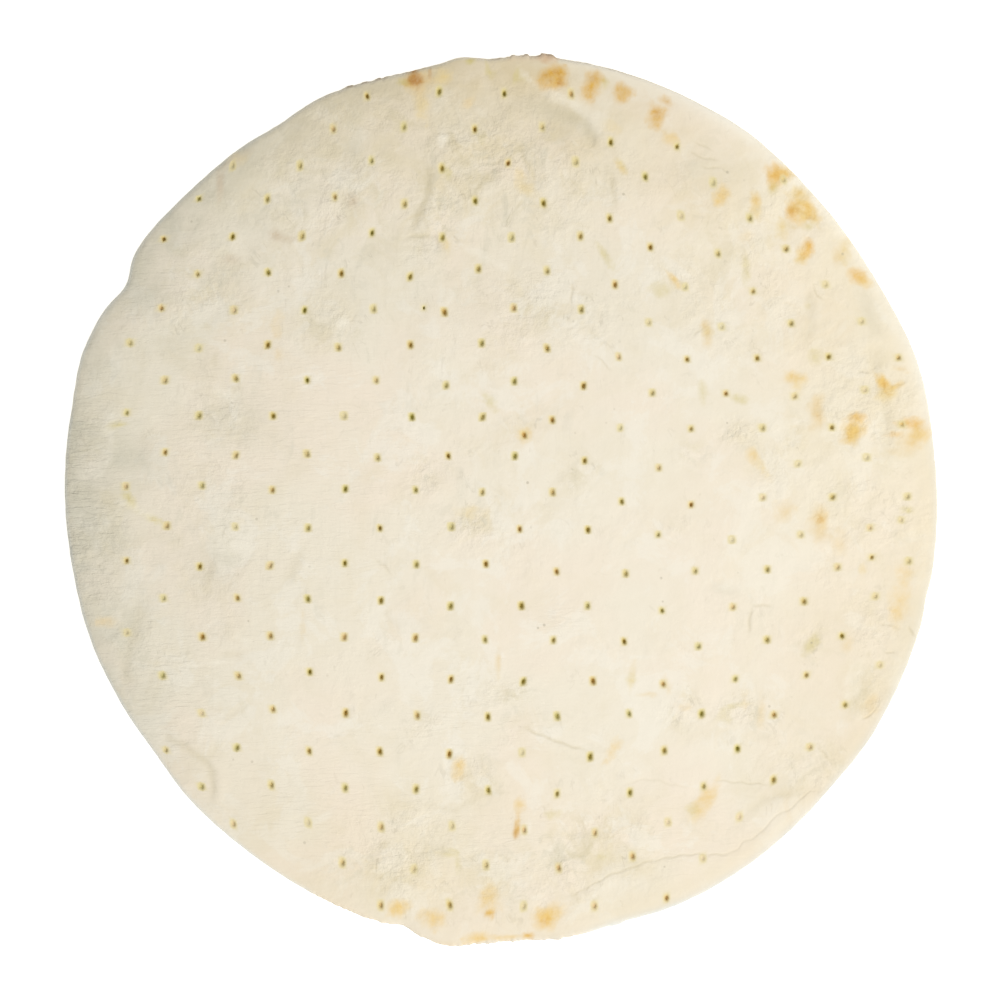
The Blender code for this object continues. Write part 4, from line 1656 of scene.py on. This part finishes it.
    def _roll_rim(self, piece: bpy.types.Object) -> None:
        """Extrudes the grid's open edge outwards and down to the underside, ring by ring."""
        with editing("EDGE"):
            self._select_open_edges(piece)
            bm = bmesh.from_edit_mesh(piece.data)
            start = [vert for vert in bm.verts if vert.select]
            x, y = np.array([vert.co[:2] for vert in start]).T / MM
            layer = bm.verts.layers.float["edge_height"]
            for vert, height in zip(start, self.top_height(x, y)):
                vert[layer] = height
            down = {"value": (0.0, 0.0, -self.wall_step)}
            for inset, share in self.rim.profile:
                bpy.ops.mesh.extrude_edges_move(TRANSFORM_OT_translate=down)
                self._place_rim(piece, inset, share)

    def _place_rim(self, piece: bpy.types.Object, inset: float, share: float) -> None:
        """Moves the rim's newest ring to its inset and its share of the edge's height."""
        bm = bmesh.from_edit_mesh(piece.data)
        layer = bm.verts.layers.float["edge_height"]
        skin = bm.verts.layers.float["skin"]
        ring = [vert for vert in bm.verts if vert.select]
        x, y = np.array([vert.co[:2] for vert in ring]).T / MM
        bearing = self.outline.bearing(x, y)
        ragged = self.outline.raggedness(bearing) * min(1.0, 4.0 * share)
        reach = self.outline.radius(bearing) - inset * (1.0 + self.rim.sag(bearing)) + ragged
        for vert, angle, radius in zip(ring, np.radians(bearing), reach):
            vert.co.x = (self.outline.pole[0] + radius * math.cos(angle)) * MM
            vert.co.y = (self.outline.pole[1] + radius * math.sin(angle)) * MM
            vert.co.z = vert[layer] * share * MM
            vert[skin] = 0.0
        bmesh.update_edit_mesh(piece.data)

    def _close_underside(self, piece: bpy.types.Object) -> None:
        """Adds the underside as a coarser grid and bridges it to the rim."""
        deck = add_grid("crust_deck", self.deck_cells)
        self._round_off(deck.data, self.deck_inset)
        with editing("FACE"):
            bpy.ops.mesh.select_all(action="SELECT")
            bpy.ops.mesh.flip_normals()
        piece.select_set(True)
        bpy.context.view_layer.objects.active = piece
        bpy.ops.object.join()
        with editing("EDGE"):
            self._select_open_edges(piece)
            bpy.ops.mesh.bridge_edge_loops()

    def _raise_relief(self, mesh: bpy.types.Mesh) -> None:
        """Gives the top its height: fall to the rim, swells, creases, noise and pits."""
        rows = places(mesh)
        top = read(mesh, "skin") > 0.5
        rows[top, 2] = self.top_height(rows[top, 0], rows[top, 1]) - read(mesh, "pit_drop")[top]
        set_places(mesh, rows)

    def top_height(self, x: Array, y: Array) -> Array:
        """Height of the skin at each place.

        Args:
            x: Places in mm.
            y: Places in mm.

        Returns:
            Heights in mm.
        """
        inside = self.outline.inside(x, y)
        height = self.thickness - self.rim.fall(inside, self.outline.bearing(x, y))
        for swell in SWELLS:
            height += swell.weight(x, y)
        for crease in CREASES:
            height += crease.height(x, y)
        share = strongest(ROUGH, x, y, self.least_rough[0]) * smooth_step(inside, *self.rough_fade)
        return height + share * np.array([self._unevenness(px, py) for px, py in zip(x, y)])

    def _unevenness(self, x: float, y: float) -> float:
        """Pillowy unevenness of the baked skin, in mm."""
        return sum(
            height * noise.noise(Vector((x / space_x, y / space_y, self.seed + shift)))
            for space_x, space_y, shift, height in self.bumps
        )

    def _record_looks(self, mesh: bpy.types.Mesh) -> None:
        """Writes the vertex attributes that the finish reads."""
        x, y, z = places(mesh).T
        inside = self.outline.inside(x, y)
        bearing = self.outline.bearing(x, y)

        # Painted shade along each crease.
        groove_shade = np.zeros(len(x))
        for crease in CREASES:
            distance, _, fade = crease.measure(x, y)
            groove_shade = np.maximum(groove_shade, crease.groove_shade * fade * bell(distance / (1.2 * crease.width)))
        store(mesh, "crease", groove_shade)
        store(mesh, "wrinkled", strongest(WRINKLED, x, y))
        store(mesh, "smeared", strongest(SMEARED, x, y))
        store(mesh, "rough", strongest(ROUGH, x, y, self.least_rough[1]))
        middle, spread = self.lip_height
        lip = self.outline.scorch(bearing) * (1.0 - smooth_step(inside, *self.lip_reach))
        store(mesh, "lip", lip * bell((z - middle) / spread))

        share = z / np.maximum(read(mesh, "edge_height"), 0.1)
        wall = (read(mesh, "skin") < 0.5) * (1.0 - smooth_step(share, *self.wall_fade))
        bare, spotless = (1.0 - clear * wall for clear in self.wall_clear)
        # Edge bands and broad spots: tones of the dough, and painted shade and light along the rim and over
        # the left side.
        tints = [(band.weight(inside, bearing) * bare, band.bake) for band in EDGE_BANDS]
        tints += [(spot.weight(x, y), spot.bake) for spot in BROAD_SPOTS]
        tints.append((self.wall_bake * wall, Bake.STRAW))
        store(mesh, "tint_painted_shade_and_light", blend(tints))
        baked = [(spot.weight(x, y) * spotless, spot.bake) for spot in BAKED_SPOTS]
        store(mesh, "baked", blend(baked))

    def dress(self, piece: bpy.types.Object) -> None:
        """Gives the crust its skin and its underside's, and smooth shading.

        Args:
            piece: The finished mesh object.
        """
        mesh = piece.data
        mesh.materials.append(DoughSkin().make())
        mesh.materials.append(DeckSkin().make())
        low = places(mesh)[:, 2] < self.deck_height
        for face in mesh.polygons:
            face.material_index = int(low[list(face.vertices)].all())
            face.use_smooth = True


# ---------------------------------------------------------------------------------------
# The studio
# ---------------------------------------------------------------------------------------


@dataclass(frozen=True)
class SoftLight:
    """A square soft light.

    Attributes:
        name: The light's name.
        bearing: Where it stands round the crust, in degrees.
        elevation: How high it stands, in degrees.
        distance: From the crust's middle, in metres.
        size: Side of its square, in metres.
        power: In watts.
        colour: Linear colour.
    """

    name: str = "key_light"
    bearing: float = -38
    elevation: float = 50
    distance: float = 2.5
    size: float = 0.9
    power: float = 44.6
    colour: Colour = (0.993, 0.985, 0.961)

    def hang(self) -> None:
        """Adds the light, turned to the crust's middle."""
        turn, rise = math.radians(self.bearing), math.radians(self.elevation)
        across = math.cos(rise)
        place = Vector((math.cos(turn) * across, math.sin(turn) * across, math.sin(rise))) * self.distance
        data = bpy.data.lights.new(self.name, "AREA")
        data.size = self.size
        data.energy = self.power
        data.color = self.colour
        light = bpy.data.objects.new(self.name, data)
        light.location = place
        light.rotation_euler = (-place).to_track_quat("-Z", "Y").to_euler()
        light.visible_camera = False
        bpy.context.scene.collection.objects.link(light)


@dataclass
class Studio:
    """A white table top, a soft light and the camera straight above.

    Attributes:
        table_size: Side of the table top, in metres.
        table_z: Its height, just under the crust, in metres.
        glow: How strongly it glows, so that it shows white.
        frame_width: What the picture spans at the crust's rim, in metres.
        rim_z: The rim's height, in metres.
        lens: Focal length in mm.
        aim: The picture's middle, in mm from the crust's middle.
        light: The soft light.
        sky: Linear colour of the light from all round.
        sky_strength: Its strength.
    """

    table_size: float = 6
    table_z: float = -0.0002
    glow: float = 0.55
    frame_width: float = 0.3475
    rim_z: float = 0.0025
    lens: float = 135
    aim: Point = (-0.35, -0.17)
    light: SoftLight = SoftLight()
    sky: Colour = (0.98, 0.99, 1)
    sky_strength: float = 0.588

    def build(self) -> None:
        """Sets up the table, the light, the sky and the camera."""
        bpy.ops.object.select_all(action="DESELECT")
        bpy.ops.mesh.primitive_plane_add(size=self.table_size, location=(0.0, 0.0, self.table_z))
        table = start_piece("table_top")
        table.data.materials.append(NodeBench("white_table").finish(
            Base_Color=(0.9, 0.9, 0.9, 1),
            Roughness=0.9,
            Emission_Color=(1, 1, 1, 1),
            Emission_Strength=self.glow,
        ))
        self.light.hang()
        world = bpy.data.worlds.new("studio_sky")
        world.use_nodes = True
        background = world.node_tree.nodes["Background"]
        background.inputs["Color"].default_value = (*self.sky, 1)
        background.inputs["Strength"].default_value = self.sky_strength
        bpy.context.scene.world = world
        bpy.context.scene.view_settings.view_transform = "Standard"
        self._camera()
        log.info("studio: table, light and camera")

    def _camera(self) -> None:
        """Adds the camera, straight above the crust, and makes it the scene's."""
        data = bpy.data.cameras.new("camera")
        data.lens = self.lens
        height = self.rim_z + self.frame_width * self.lens / data.sensor_width
        camera = bpy.data.objects.new("camera", data)
        camera.location = (self.aim[0] * MM, self.aim[1] * MM, height)
        bpy.context.scene.collection.objects.link(camera)
        bpy.context.scene.camera = camera


def main() -> None:
    """Builds the crust and the studio round it."""
    logging.basicConfig(level=logging.INFO, format="%(name)s: %(message)s")
    sheet = CrustSheet()
    crust = sheet.build()
    sheet.dress(crust)
    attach(crust, "root")
    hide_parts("crust")
    Studio().build()


if __name__ == "__main__":
    main()
